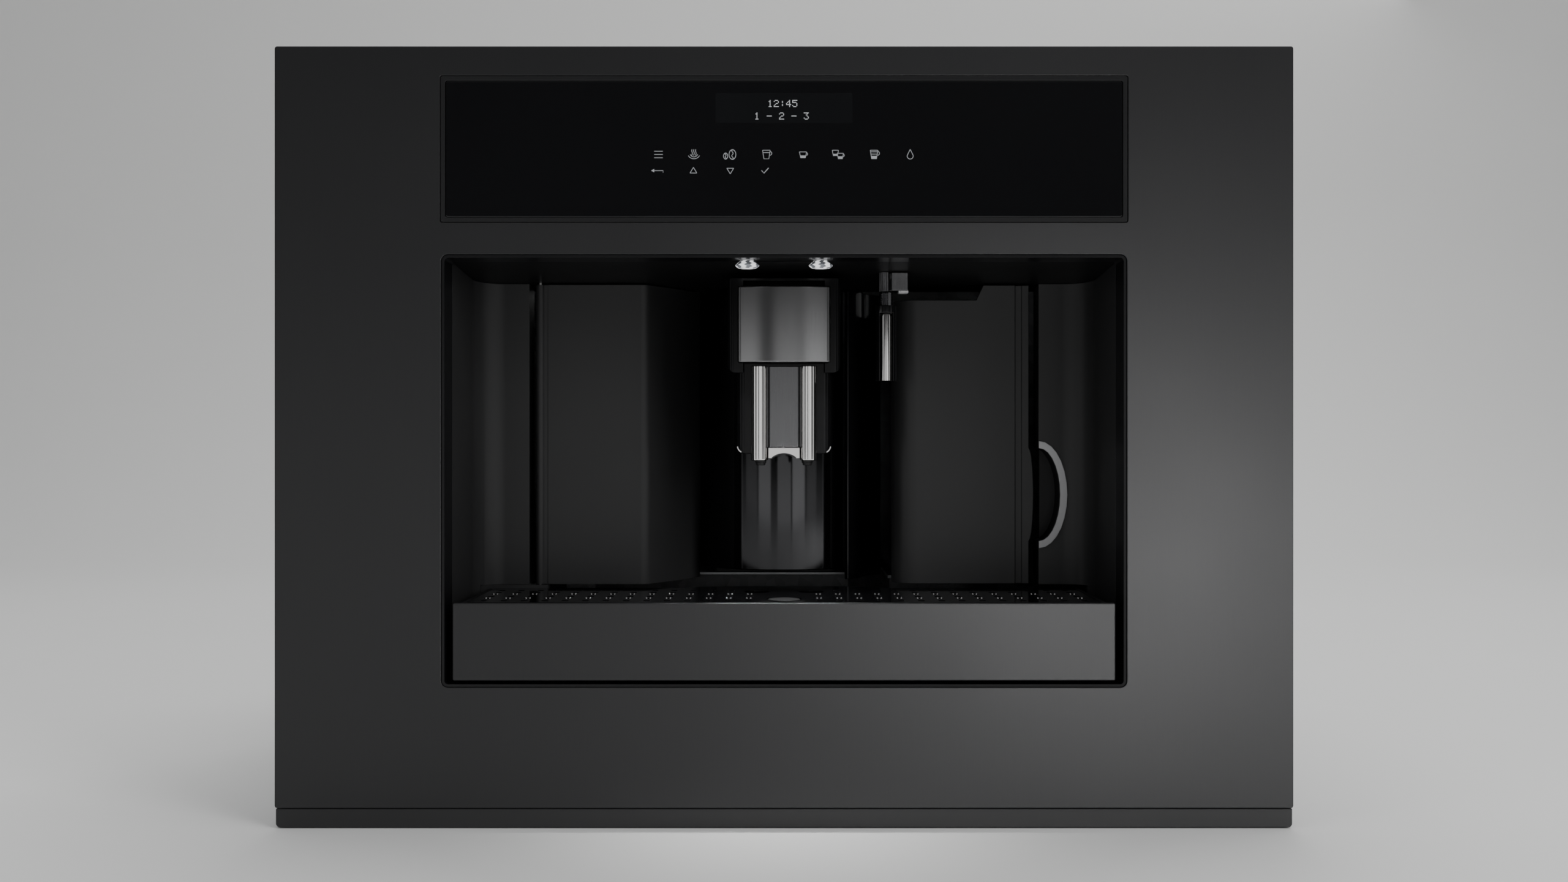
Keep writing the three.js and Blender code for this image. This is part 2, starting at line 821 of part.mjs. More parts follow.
function spoutBody() {
  const { bodyHalf, bodyFront, bodyBack, bodyCorner, bodyBottom, bodyTop } = SPOUT;
  const outer = upright(roundRect(-bodyHalf, bodyHalf, bodyFront, bodyBack, bodyCorner), bodyBottom, bodyTop);
  const wall = SPOUT.bodyWall;
  const room = roundRect(-bodyHalf + wall, bodyHalf - wall, bodyFront + wall, bodyBack - wall, bodyCorner - 1);
  const rounded = roundedBelow(outer, bodyHalf, bodyBottom, SPOUT.lowCorner, bodyFront - 1, bodyBack + 1);
  return cut(rounded, upright(room, bodyBottom - 1, bodyTop - wall));
}

// A tube with its narrower outlet tip.
function spoutTube(side) {
  const { tubeRadius, tubeBottom, tubeTop, nozzleRadius, nozzleBottom, tubeDepth, tubeX } = SPOUT;
  const profile = [
    [0, nozzleBottom],
    [nozzleRadius * 0.8, nozzleBottom],
    [nozzleRadius, tubeBottom],
    [tubeRadius, tubeBottom],
    [tubeRadius, tubeTop],
    [0, tubeTop],
  ];
  return turned(profile, side * tubeX, tubeDepth, 20);
}

const betweenTubes = SPOUT.tubeX - SPOUT.tubeRadius - GAP;

function spoutPlate() {
  const back = SPOUT.bodyFront - GAP;
  const { plateHalf, plateSheet, plateBottom, tubeTop } = SPOUT;
  return join(block(-plateHalf, plateHalf, back - plateSheet, back, plateBottom - 1, tubeTop), spoutLip());
}

// The bright bar between the tubes' ends, with an arched underside.
function spoutLip() {
  const top = SPOUT.plateBottom;
  const low = SPOUT.tubeBottom + SPOUT.lipRise;
  const arch = arc(0, low - SPOUT.archDrop, SPOUT.archRadius, 130, 50);
  const half = betweenTubes;
  const outline = [[half, low], [half, top], [-half, top], [-half, low], ...arch];
  return facing(outline, SPOUT.tubeDepth - SPOUT.lipHalf, SPOUT.bodyFront - GAP);
}

// ---------- hot water outlet ----------

// A stem over the sleeve, and beside it a bright plate and a clip on a core, all below the ceiling.
function hotWaterConnector() {
  const { depth, coreLeft, coreRight, coreHalf, plateLeft, plateRight, plateSheet, clip } = HOT_WATER;
  const low = HOT_WATER.connectorBottom;
  const front = depth - coreHalf;
  const clipFront = front + clip.setback;
  const core = block(coreLeft, coreRight, front + plateSheet, depth + coreHalf, low, ceilingFront);
  const plate = block(plateLeft, plateRight, front, front + plateSheet + 1, low, ceilingFront);
  const catcher = block(clip.left, clip.right, clipFront, clipFront + clip.length, clip.bottom, low + 1);
  const stem = turned(rod(HOT_WATER.stem, low, ceilingFront), HOT_WATER.stemX, depth - plateSheet, 16);
  return cut(join(core, plate, catcher, stem), aboveCeiling(GAP));
}

// The sleeve is a cylinder with a groove along its front, where the bright tube lies.
function hotWaterSleeve() {
  const { x, depth, sleeveRadius, sleeveBottom, sleeveTop, tubeRadius } = HOT_WATER;
  const groove = tubeRadius + GAP;
  const front = depth - sleeveRadius;
  const collar = turned(rod(HOT_WATER.collar, sleeveTop - 1, HOT_WATER.connectorBottom - GAP), x, depth, 16);
  const sleeve = cut(
    turned(rod(sleeveRadius, sleeveBottom, sleeveTop), x, depth),
    block(x - groove, x + groove, front - 1, depth - 1 + groove, sleeveBottom - 1, HOT_WATER.grooveTop),
  );
  return join(sleeve, collar);
}

function hotWaterTube() {
  const { x, depth, tubeRadius, tubeBottom, grooveTop } = HOT_WATER;
  return turned(rod(tubeRadius, tubeBottom, grooveTop - GAP), x, depth - HOT_WATER.tubeProud, 20);
}

// ---------- fixed core beside the door ----------

function coreCover() {
  const path = [
    ...bellyArc(BELLY.radius, bellyAngle(CORE.left) + 360, bellyAngle(CORE.right) + 360, 5),
    [CORE.partition, bellyDepth],
    [CORE.partition, TANK.back],
  ];
  return upright(wallAlong(path, CORE.wall), DOOR.bottom, DOOR.top);
}

// ---------- water tank ----------

function tankFront() {
  const radius = TANK.edgeRadius;
  const path = [
    ...arc(TANK.left + radius, TANK.front + radius, radius, 180, 270),
    [TANK.right, TANK.front],
    [TANK.right, TANK.front + TANK.plate],
  ];
  const plate = upright(wallAlong(path, TANK.plate), TANK.bottom, TANK.top);
  const notch = [
    [TANK.left - 1, TANK.notchTop],
    [TANK.notchRight, TANK.notchTop],
    [TANK.notchRight + TANK.notchSlant, TANK.top + 1],
    [TANK.left - 1, TANK.top + 1],
  ];
  return join(cut(plate, facing(notch, TANK.front - 1, TANK.front + radius + TANK.plate)), tankEdge());
}

function waterTank() {
  const inset = TANK.plate + GAP;
  const radius = TANK.edgeRadius - inset;
  const right = TANK.right - GAP;
  const outline = (wall) => [
    ...arc(TANK.left + TANK.edgeRadius, TANK.front + TANK.edgeRadius, radius - wall, 180, 270),
    [right - inset - wall, TANK.front + inset + wall],
    [right - wall, TANK.front + inset + TANK.plate + wall],
    [right - wall, TANK.back - wall],
    [TANK.left + inset + wall, TANK.back - wall],
  ];
  const low = TANK.bottom + GAP;
  const outer = upright(outline(0), low, TANK.bodyTop);
  return cut(outer, upright(outline(TANK.wall), low + TANK.wall, TANK.bodyTop + 1));
}

function tankLid() {
  const inset = TANK.plate + GAP;
  const low = TANK.bodyTop + GAP;
  const plan = roundRect(TANK.left + inset, TANK.right - GAP, TANK.front + TANK.edgeRadius, TANK.back, 4);
  return join(
    upright(plan, low, low + TANK.lid),
    upright(roundRect(TANK.capLeft, TANK.capRight, TANK.capFront, TANK.capBack, 6), low, low + TANK.lid + 1.5),
  );
}

// The strip along the tank's right edge, which swells where fingers pull it.
function tankEdge() {
  const { left, right, bulge, front, back, sheet } = TANK_EDGE;
  const outline = [
    [left, TANK.bottom],
    [right, TANK.bottom],
    ...arc(0, 0, 1, -90, 90, 10).map(([a, b]) => [right + a * bulge, GRIP.centreZ + b * pocketHalf]),
    [right, TANK.top],
    [left, TANK.top],
  ];
  const web = block(TANK.right - 1, left + 1, back - sheet, back, TANK.bottom, TANK.top);
  return join(facing(outline, front, back), web);
}

// ---------- drip tray, grid, float ----------

const trayTop = TRAY.frontTop - GRID.thickness - GAP;

function dripTray() {
  const { bodyHalf, wall, back, backTop, rimDepth, floor, ledge } = TRAY;
  const front = TRAY.setback + TRAY.frontThickness + GAP;
  const tray = cut(
    block(-bodyHalf, bodyHalf, front, back, floor, backTop),
    block(-bodyHalf + wall, bodyHalf - wall, front + wall, back - wall, floor + wall, backTop + 1),
  );
  const rims = [-1, 1].map((side) => {
    const x = side * (bodyHalf - wall / 2);
    return block(x - wall / 2, x + wall / 2, front, rimDepth, floor, TRAY.frontTop - GAP);
  });
  const ledges = [-1, 1].map((side) => {
    const x = side * (bodyHalf - wall - ledge / 2);
    return block(x - ledge / 2 - 0.5, x + ledge / 2 + 0.5, front + 1, rimDepth, backTop - ledge, trayTop);
  });
  return join(tray, ...rims, ...ledges);
}

function trayFront() {
  const { halfWidth, frontBottom, frontTop, setback, frontThickness } = TRAY;
  return facing(roundRect(-halfWidth, halfWidth, frontBottom, frontTop, 1), setback, setback + frontThickness);
}

function dripGrid() {
  const { halfWidth, front, back, bulgeHalf, bulgeBack } = GRID;
  const rise = bulgeBack - back;
  const bulge = arc(0, 0, 1, 0, 180, 12).map(([a, b]) => [bulgeHalf * a, back + rise * b]);
  const outline = [[-halfWidth, front], [halfWidth, front], [halfWidth, back], ...bulge, [-halfWidth, back]];
  const drains = [-1, 1].map((side) => circle(side * GRID.drainX, GRID.drainDepth, GRID.drainRadius, 16));
  const holes = [circle(0, FLOAT.depth, FLOAT.hole, 20), ...drains, ...gridSlots()];
  return upright(outline, trayTop + GAP, TRAY.frontTop, holes);
}

// Slots in rows and columns, left out where they would meet the float's hole or a drain hole.
function gridSlots() {
  const reach = GRID.slotLength / 2 + GRID.land;
  const pitch = (OPENING.halfWidth - INSET.slots - GRID.firstColumn) / (GRID.slotColumns - 1);
  const round = [
    [0, FLOAT.depth, FLOAT.hole + reach],
    [GRID.drainX, GRID.drainDepth, GRID.drainRadius + reach],
  ];
  const slots = [];
  for (let row = 0; row < GRID.slotRows; row++) {
    const depth = GRID.firstRow + row * GRID.rowPitch;
    for (let column = 0; column < GRID.slotColumns; column++) {
      const x = GRID.firstColumn + column * pitch;
      if (round.some(([a, b, radius]) => Math.hypot(x - a, depth - b) < radius)) continue;
      for (const side of [-1, 1]) {
        const [low, high] = [side * x - GRID.slotWidth / 2, side * x + GRID.slotWidth / 2];
        slots.push(rect(low, high, depth - GRID.slotLength / 2, depth + GRID.slotLength / 2));
      }
    }
  }
  return slots;
}

function trayFloat() {
  const low = TRAY.floor + TRAY.wall + GAP;
  const { radius, stem, head, bulb, bulbHeight } = FLOAT;
  const profile = [
    [0, low],
    [bulb, low],
    [bulb, low + bulbHeight],
    [stem, low + bulbHeight],
    [stem, TRAY.frontTop - head],
    [radius, TRAY.frontTop - head],
    [radius, TRAY.frontTop],
    [0, TRAY.frontTop],
  ];
  return turned(profile, 0, FLOAT.depth, 20);
}

// ---------- chassis ----------

const chassisFront = CARRIER.back + GAP;
const sideInner = CHASSIS.halfWidth - CHASSIS.sheet;

function chassisBase() {
  const half = sideInner - GAP;
  const { bottom, back, sheet } = CHASSIS;
  return join(
    block(-half, half, chassisFront, back - GAP, bottom, bottom + sheet),
    block(-half, half, chassisFront, chassisFront + sheet, bottom, bottom + BASE.flange),
    block(-half, half, back - GAP - sheet, back - GAP, bottom, bottom + BASE.flange),
  );
}

function sidePanel() {
  const slots = [];
  for (let i = 0; i < VENT.sideCount; i++) {
    const depth = VENT.sideFirst + i * VENT.pitch;
    slots.push(rect(depth, depth + VENT.width, VENT.sideLow, VENT.sideLow + VENT.length));
  }
  const outline = rect(chassisFront, CHASSIS.back - GAP, CHASSIS.bottom, topUnder);
  return join(sideways(outline, sideInner, CHASSIS.halfWidth, slots), machineRail());
}

const topUnder = CHASSIS.top - CHASSIS.sheet - GAP;

function topCover() {
  const { halfWidth, back, top, sheet } = CHASSIS;
  const holes = [
    hopperOutline(0),
    circle(KNOB.x, KNOB.depth, KNOB.shaft + GAP, 16),
  ];
  return upright(rect(-halfWidth, halfWidth, chassisFront, back - GAP), top - sheet, top, holes);
}

function rearCover() {
  const half = CHASSIS.halfWidth - REAR_COVER.margin;
  const { back, bottom, top } = CHASSIS;
  const slots = [];
  for (let i = 0; i < VENT.rearCount; i++) {
    const x = VENT.rearFirst + i * VENT.pitch;
    slots.push(rect(x, x + VENT.width, VENT.rearLow, VENT.rearLow + VENT.length));
  }
  const holes = [
    rect(INLET.left - GAP, INLET.right + GAP, INLET.low - GAP, INLET.high + GAP),
    rect(SWITCH.left - GAP, SWITCH.right + GAP, SWITCH.low - SWITCH.play, SWITCH.high + SWITCH.play),
    ...slots,
  ];
  const margin = REAR_COVER.margin;
  return facing(rect(-half, half, bottom + margin, top - margin), back, back + REAR_COVER.thickness, holes);
}

const rearFace = CHASSIS.back + REAR_COVER.thickness;

function mainsInlet() {
  const { left, right, low, high, front, wall, flange } = INLET;
  const housing = facing(rect(left, right, low, high), front, OVERALL_DEPTH);
  const plate = facing(
    rect(left - flange, right + flange, low - flange, high + flange),
    rearFace + GAP,
    OVERALL_DEPTH,
  );
  const socket = facing(rect(left + wall, right - wall, low + wall, high - wall), front + wall, OVERALL_DEPTH + 1);
  const pins = [-1, 0, 1].map((i) => {
    const x = (left + right) / 2 + i * INLET.pinPitch;
    const z = (low + high) / 2;
    return block(x - 1, x + 1, front + 1, front + wall + INLET.pinLength, z - 2, z + 2);
  });
  return join(cut(join(housing, plate), socket), ...pins);
}

// A rocker seen from the side: two faces that meet in a shallow valley.
function mainSwitch() {
  const { left, right, low, high, axisDepth, proud, valley } = SWITCH;
  const middle = (low + high) / 2;
  const outline = [
    [axisDepth - proud, low + 2],
    [axisDepth - proud, high - 2],
    [axisDepth + 1, high],
    [axisDepth + proud, high],
    [axisDepth + proud - valley, middle],
    [axisDepth + proud, low],
    [axisDepth + 1, low],
  ];
  return sideways(outline, left, right);
}

// ---------- telescopic slides ----------

// One member: a channel open towards the machine (-1) or towards the cabinet (1), on the right side.
function railMember(inner, outer, low, high, opensOut) {
  const web = RAIL.web;
  const wallX = opensOut ? inner : outer - web;
  return join(
    facing(rect(wallX, wallX + web, low, high), RAIL.front, RAIL.back),
    facing(rect(inner, outer, low, low + web), RAIL.front, RAIL.back),
    facing(rect(inner, outer, high - web, high), RAIL.front, RAIL.back),
  );
}

const railStep = RAIL.web + GAP;
const railOuter = CHASSIS.halfWidth + RAIL.space;
const cabinetRail = () => railMember(railOuter - RAIL.lip * 1.6, railOuter, 0, RAIL.height, false);
const middleRail = () =>
  railMember(CHASSIS.halfWidth + railStep + GAP * 2, railOuter - railStep, railStep, RAIL.height - railStep, false);
const machineRail = () =>
  railMember(
    CHASSIS.halfWidth - CHASSIS.sheet / 2,
    railOuter - 2 * railStep - GAP,
    2 * railStep,
    RAIL.height - 2 * railStep,
    true,
  );

// ---------- top: hopper, lid, knob ----------

const hopperOutline = (inset) =>
  roundRect(HOPPER.left + inset, HOPPER.right - inset, HOPPER.front + inset, HOPPER.back - inset, HOPPER.corner);

function beanHopper() {
  const { bottom, wall, outlet } = HOPPER;
  const outer = upright(hopperOutline(GAP), bottom, CHASSIS.top - GAP);
  const room = upright(hopperOutline(GAP + wall), bottom + wall, CHASSIS.top + 1);
  return cut(outer, room, turned(rod(outlet, bottom - 1, bottom + wall + 1), GRINDER.x, GRINDER.depth));
}

function beanLid() {
  const low = CHASSIS.top + GAP;
  const plate = upright(hopperOutline(-LID.overlap), low, low + LID.sheet);
  const middle = (HOPPER.left + HOPPER.right) / 2;
  const front = HOPPER.front - LID.overlap;
  const tab = block(middle - LID.tabHalf, middle + LID.tabHalf, front - LID.tab, front + 1, low, low + LID.sheet);
  return join(plate, tab);
}

function grindKnob() {
  const low = CHASSIS.top + GAP;
  const profile = [
    [0, KNOB.shaftBottom],
    [KNOB.shaft, KNOB.shaftBottom],
    [KNOB.shaft, low],
    [KNOB.radius, low],
    [KNOB.radius, low + KNOB.height - 2],
    [KNOB.radius - 2, low + KNOB.height],
    [0, low + KNOB.height],
  ];
  const pointer = block(
    KNOB.x - 1.2,
    KNOB.x + 1.2,
    KNOB.depth - KNOB.radius + 2,
    KNOB.depth,
    low + KNOB.height - 1,
    low + KNOB.height + 1.2,
  );
  return join(turned(profile, KNOB.x, KNOB.depth), pointer);
}

// ---------- grinder ----------

const grinderTop = HOPPER.bottom - GAP;
const motorTop = GRINDER.bottom + 1;

function grinderBody() {
  const { x, depth, radius, room, bottom, floor, shaft } = GRINDER;
  const shell = turned(rod(radius, bottom, grinderTop), x, depth);
  return cut(
    shell,
    turned(rod(room, bottom + floor, grinderTop + 1), x, depth),
    turned(rod(shaft + GAP, bottom - 1, bottom + floor + 1), x, depth, 16),
  );
}

function lowerBurr() {
  const { x, depth, room, bottom, floor, burr, shaft, shaftLow } = GRINDER;
  const low = bottom + floor + GAP;
  const disc = turned(pipe(room - GAP, shaft - 1, low, low + burr), x, depth);
  const spindle = turned(rod(shaft, shaftLow, low + burr + shaft), x, depth, 16);
  const nut = turned(rod(shaft * 2, low, low + burr + shaft), x, depth, 6);
  return join(disc, spindle, nut);
}

function upperBurr() {
  const { x, depth, room, bottom, floor, burr, eye } = GRINDER;
  const low = bottom + floor + burr + 2 * GAP;
  const ring = pipe(room + 1, eye, low, low + burr);
  return turned(ring, x, depth);
}

function grinderMotor() {
  const { x, depth, motor, motorBottom, shaft, shaftLow } = GRINDER;
  const can = turned(rod(motor, motorBottom, motorTop), x, depth);
  return cut(can, turned(rod(shaft + GAP, shaftLow - GAP, motorTop + 1), x, depth, 16));
}

// ---------- brewing unit ----------

function brewFrame() {
  const { left, right, front, back, bottom, top, bore, floor } = BREW;
  const x = (left + right) / 2;
  const depth = (front + back) / 2;
  return cut(
    block(left, right, front, back, bottom, top),
    turned(rod(bore, bottom + floor, top + 1), x, depth),
    block(left - 1, right + 1, front - 1, front + BREW.relief, bottom + floor, top - floor),
  );
}

function brewPiston() {
  const { left, right, front, back, top, bore, pistonDrop, head, rodRadius, rodAbove } = BREW;
  const low = top - pistonDrop;
  const profile = [
    [0, low],
    [bore - GAP, low],
    [bore - GAP, low + head],
    [rodRadius, low + head],
    [rodRadius, top + rodAbove],
    [0, top + rodAbove],
  ];
  return turned(profile, (left + right) / 2, (front + back) / 2);
}

function brewGearmotor() {
  const { motorX, motorRadius, motorLength, back, bottom, gearcase } = BREW;
  const start = back - 1;
  const box = block(motorX - gearcase, motorX + gearcase, start, start + gearcase, bottom, bottom + 2 * gearcase);
  const can = turnedBack(
    rod(motorRadius, start + gearcase - 1, start + gearcase + motorLength),
    motorX,
    bottom + gearcase,
  );
  return join(box, can);
}

function groundsContainer() {
  const { left, right, front, back, bottom, top, wall } = GROUNDS;
  return cut(
    upright(roundRect(left, right, front, back, 6), bottom, top),
    upright(roundRect(left + wall, right - wall, front + wall, back - wall, 4), bottom + wall, top + 1),
  );
}

// The shelf that carries the grounds container and the brewing unit.
function innerShelf() {
  const top = GROUNDS.bottom - GAP;
  const right = CORE.right - CORE.wall * 2;
  const plate = block(-SHELF.half, right, SHELF.front, SHELF.back, top - SHELF.sheet, top);
  const legs = [SHELF.front, SHELF.back - SHELF.sheet].map((depth) =>
    block(-SHELF.half, -SHELF.half + SHELF.leg, depth, depth + SHELF.sheet, legFoot, top),
  );
  const rear = block(-SHELF.half, SHELF.rearRight, SHELF.back - SHELF.sheet, SHELF.back, legFoot, top);
  const post = block(BREW.left, BREW.right, GROUNDS.back + GAP, BREW.back, top - 1, BREW.bottom - GAP);
  return join(plate, ...legs, rear, post);
}

const legFoot = CHASSIS.bottom + CHASSIS.sheet + GAP;


// ---------- water and power ----------

function pump() {
  const { x, z, radius, front, back, nose } = PUMP;
  const profile = [
    [0, front - nose],
    [PUMP.neck, front - nose],
    [PUMP.neck, front],
    [radius, front],
    [radius, back],
    [0, back],
  ];
  const inset = PUMP.footInset;
  const foot = block(x - PUMP.foot, x + PUMP.foot, front + inset, back - inset, legFoot, z - radius * 0.7);
  return join(turnedBack(profile, x, z), foot);
}

function boiler() {
  const { left, right, front, back, bottom, top } = BOILER;
  const inset = BOILER.footInset;
  const body = upright(roundRect(left, right, front, back, BOILER.corner), bottom, top);
  const foot = block(left + inset, right - inset, front + inset, back - inset, legFoot, bottom + 1);
  return join(body, foot);
}

function powerBoard() {
  const right = sideInner - GAP;
  const { front, back, low, high, sheet, post, coil, caps } = POWER;
  const face = right - POWER.stand;
  const root = face + sheet / 3;
  const board = block(face, face + sheet, front, back, low, high);
  const posts = [front, back - post].flatMap((depth) =>
    [low, high - post].map((z) => block(root, right, depth, depth + post, z, z + post)),
  );
  const choke = block(face - coil.out, root, front + coil.from, front + coil.to, low + coil.low, low + coil.high);
  const capacitors = caps.from.map((from) =>
    block(face - caps.out, root, front + from, front + from + caps.length, low + caps.low, low + caps.high),
  );
  return join(board, ...posts, choke, ...capacitors);
}

const tankValveDepth = TANK.back + GAP;

// The socket behind the tank that its outlet plugs into, on its own shelf.
function tankSocket() {
  const x = (TANK.left + TANK.right) / 2;
  const z = TANK.bottom + SOCKET.rise;
  const body = turnedBack(
    [[0, tankValveDepth], [SOCKET.radius, tankValveDepth], [SOCKET.radius, tankValveDepth + SOCKET.length], [0, tankValveDepth + SOCKET.length]],
    x,
    z,
    16,
  );
  const post = block(x - 8, x + 8, tankValveDepth + 4, tankValveDepth + SOCKET.length - 4, legFoot, z);
  return join(body, post);
}


// Two runners carry the tank, and reach down to the chassis base behind the drip tray.
function tankShelf() {
  const top = TANK.bottom;
  const back = tankValveDepth + SOCKET.length;
  const plate = block(TANK.left + 1, TANK.right, SHELF.tankFront, back, top - SHELF.sheet, top);
  const leg = block(TANK.left + 10, TANK.right - 10, TANK.back - SHELF.sheet - 30, TANK.back - 30, legFoot, top - 1);
  return join(plate, leg, tankSocket());
}

// ---------- assembly ----------

add("front_panel", "panel", frontPanel());
add("bottom_trim", "satin", bottomTrim());
add("front_frame", "satin", frontFrame());
add("display_bezel", "panel", displayBezel());
add("display_glass", "display", displayGlass());
add("display_board", "board", displayBoard());
add("recess_lip", "gloss", lipFrame());
add("recess_ceiling", "gloss", ceilingPanel());
add("recess_floor", "satin", recessFloor());
add("cheek_left", "satin", join(mirrored(cheek()), lowLug()));
add("cheek_right", "satin", cheekWithPocket());
add("finger_pocket", "satin", fingerPocket());
add("grip_crescent", "silver", gripCrescent());
add("lamp_lens_left", "lamp", lampLens(-1));
add("lamp_lens_right", "lamp", lampLens(1));

add("hinge_pin_low", "chrome", lowPin());
add("hinge_pin_high", "chrome", highPin());
add("door_shell", "satin", doorShell());
add("door_belly", "gloss", doorBelly());
add("spout_housing", "gloss", spoutHousing());
add("spout_cover", "steel", spoutCover());
add("spout_body", "gloss", spoutBody());
add("spout_tube_left", "chrome", spoutTube(-1));
add("spout_tube_right", "chrome", spoutTube(1));
add("spout_plate", "steel", spoutPlate());
add("hot_water_connector", "steel", hotWaterConnector());
add("hot_water_sleeve", "gloss", hotWaterSleeve());
add("hot_water_tube", "chrome", hotWaterTube());
add("core_cover", "gloss", coreCover());

add("tank_front", "satin", tankFront());
add("water_tank", "tank", waterTank());
add("tank_lid", "satin", tankLid());
add("tank_shelf", "zinc", tankShelf());

add("drip_tray", "satin", dripTray());
add("tray_front", "panel", trayFront());
add("drip_grid", "gloss", dripGrid());
add("tray_float", "satin", trayFloat());

add("chassis_base", "zinc", chassisBase());
add("side_panel_right", "zinc", sidePanel());
add("side_panel_left", "zinc", mirrored(sidePanel()));
add("top_cover", "zinc", topCover());
add("rear_cover", "zinc", rearCover());
add("mains_inlet", "gloss", mainsInlet());
add("main_switch", "satin", mainSwitch());
add("cabinet_rail_right", "zinc", cabinetRail());
add("cabinet_rail_left", "zinc", mirrored(cabinetRail()));
add("middle_rail_right", "zinc", middleRail());
add("middle_rail_left", "zinc", mirrored(middleRail()));

add("bean_hopper", "tank", beanHopper());
add("bean_lid", "satin", beanLid());
add("grind_knob", "gloss", grindKnob());
add("grinder", "zinc", join(grinderBody(), upperBurr(), grinderMotor()));
add("lower_burr", "steel", lowerBurr());

add("brewing_unit", "satin", join(brewFrame(), brewGearmotor()));
add("brew_piston", "steel", brewPiston());
add("grounds_container", "satin", groundsContainer());
add("inner_shelf", "zinc", innerShelf());
add("pump", "zinc", pump());
add("boiler", "zinc", boiler());
add("power_board", "board", powerBoard());

export default machine;
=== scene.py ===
import json
import math

import bmesh
import bpy
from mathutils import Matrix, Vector


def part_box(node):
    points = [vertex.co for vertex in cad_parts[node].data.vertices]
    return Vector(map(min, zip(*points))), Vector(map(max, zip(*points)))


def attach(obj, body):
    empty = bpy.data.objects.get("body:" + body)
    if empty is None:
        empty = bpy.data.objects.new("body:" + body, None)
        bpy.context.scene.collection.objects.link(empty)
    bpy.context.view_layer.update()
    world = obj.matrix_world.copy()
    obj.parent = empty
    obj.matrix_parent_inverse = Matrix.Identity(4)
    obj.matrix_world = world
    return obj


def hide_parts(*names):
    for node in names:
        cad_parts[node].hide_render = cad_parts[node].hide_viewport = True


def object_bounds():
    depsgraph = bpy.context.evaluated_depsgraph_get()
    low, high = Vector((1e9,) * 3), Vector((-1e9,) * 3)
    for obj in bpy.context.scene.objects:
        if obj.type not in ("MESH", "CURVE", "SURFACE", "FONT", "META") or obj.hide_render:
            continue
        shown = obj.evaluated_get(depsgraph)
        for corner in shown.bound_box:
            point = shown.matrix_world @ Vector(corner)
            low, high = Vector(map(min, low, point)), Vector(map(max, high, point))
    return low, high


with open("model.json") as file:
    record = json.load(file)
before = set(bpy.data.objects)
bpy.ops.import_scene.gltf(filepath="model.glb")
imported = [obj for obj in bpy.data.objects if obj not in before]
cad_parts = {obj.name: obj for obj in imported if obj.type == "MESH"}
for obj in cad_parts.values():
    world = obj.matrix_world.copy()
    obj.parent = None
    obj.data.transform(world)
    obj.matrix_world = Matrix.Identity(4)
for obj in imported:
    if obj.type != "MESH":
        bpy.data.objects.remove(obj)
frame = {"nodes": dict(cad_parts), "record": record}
cad_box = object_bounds()
nodes = frame["nodes"]

MM = 0.001
FRONT = cad_box[0][1]
SIDES = (("left", -1), ("right", 1))


# ---------- materials ----------


EVEN = (1, 1, 1)  # the stretch of a texture that is the same along every axis
MATERIALS = {}


def add_node(tree, kind, **inputs):
    """Adds a node; inputs are its settings or its sockets, with _ for a space."""
    node = tree.nodes.new(kind)
    for key, value in inputs.items():
        if hasattr(node, key):
            setattr(node, key, value)
        else:
            node.inputs[key.replace("_", " ")].default_value = value
    return node


def ramp(tree, value, low, high, start=0.0, end=1.0):
    """Maps start..end of a value to low..high."""
    ends = {"From_Min": start, "From_Max": end, "To_Min": low, "To_Max": high}
    node = add_node(tree, "ShaderNodeMapRange", **ends)
    tree.links.new(value, node.inputs["Value"])
    return node.outputs["Result"]


def shade(colour, factor):
    return tuple(min(channel * factor, 1.0) for channel in colour)


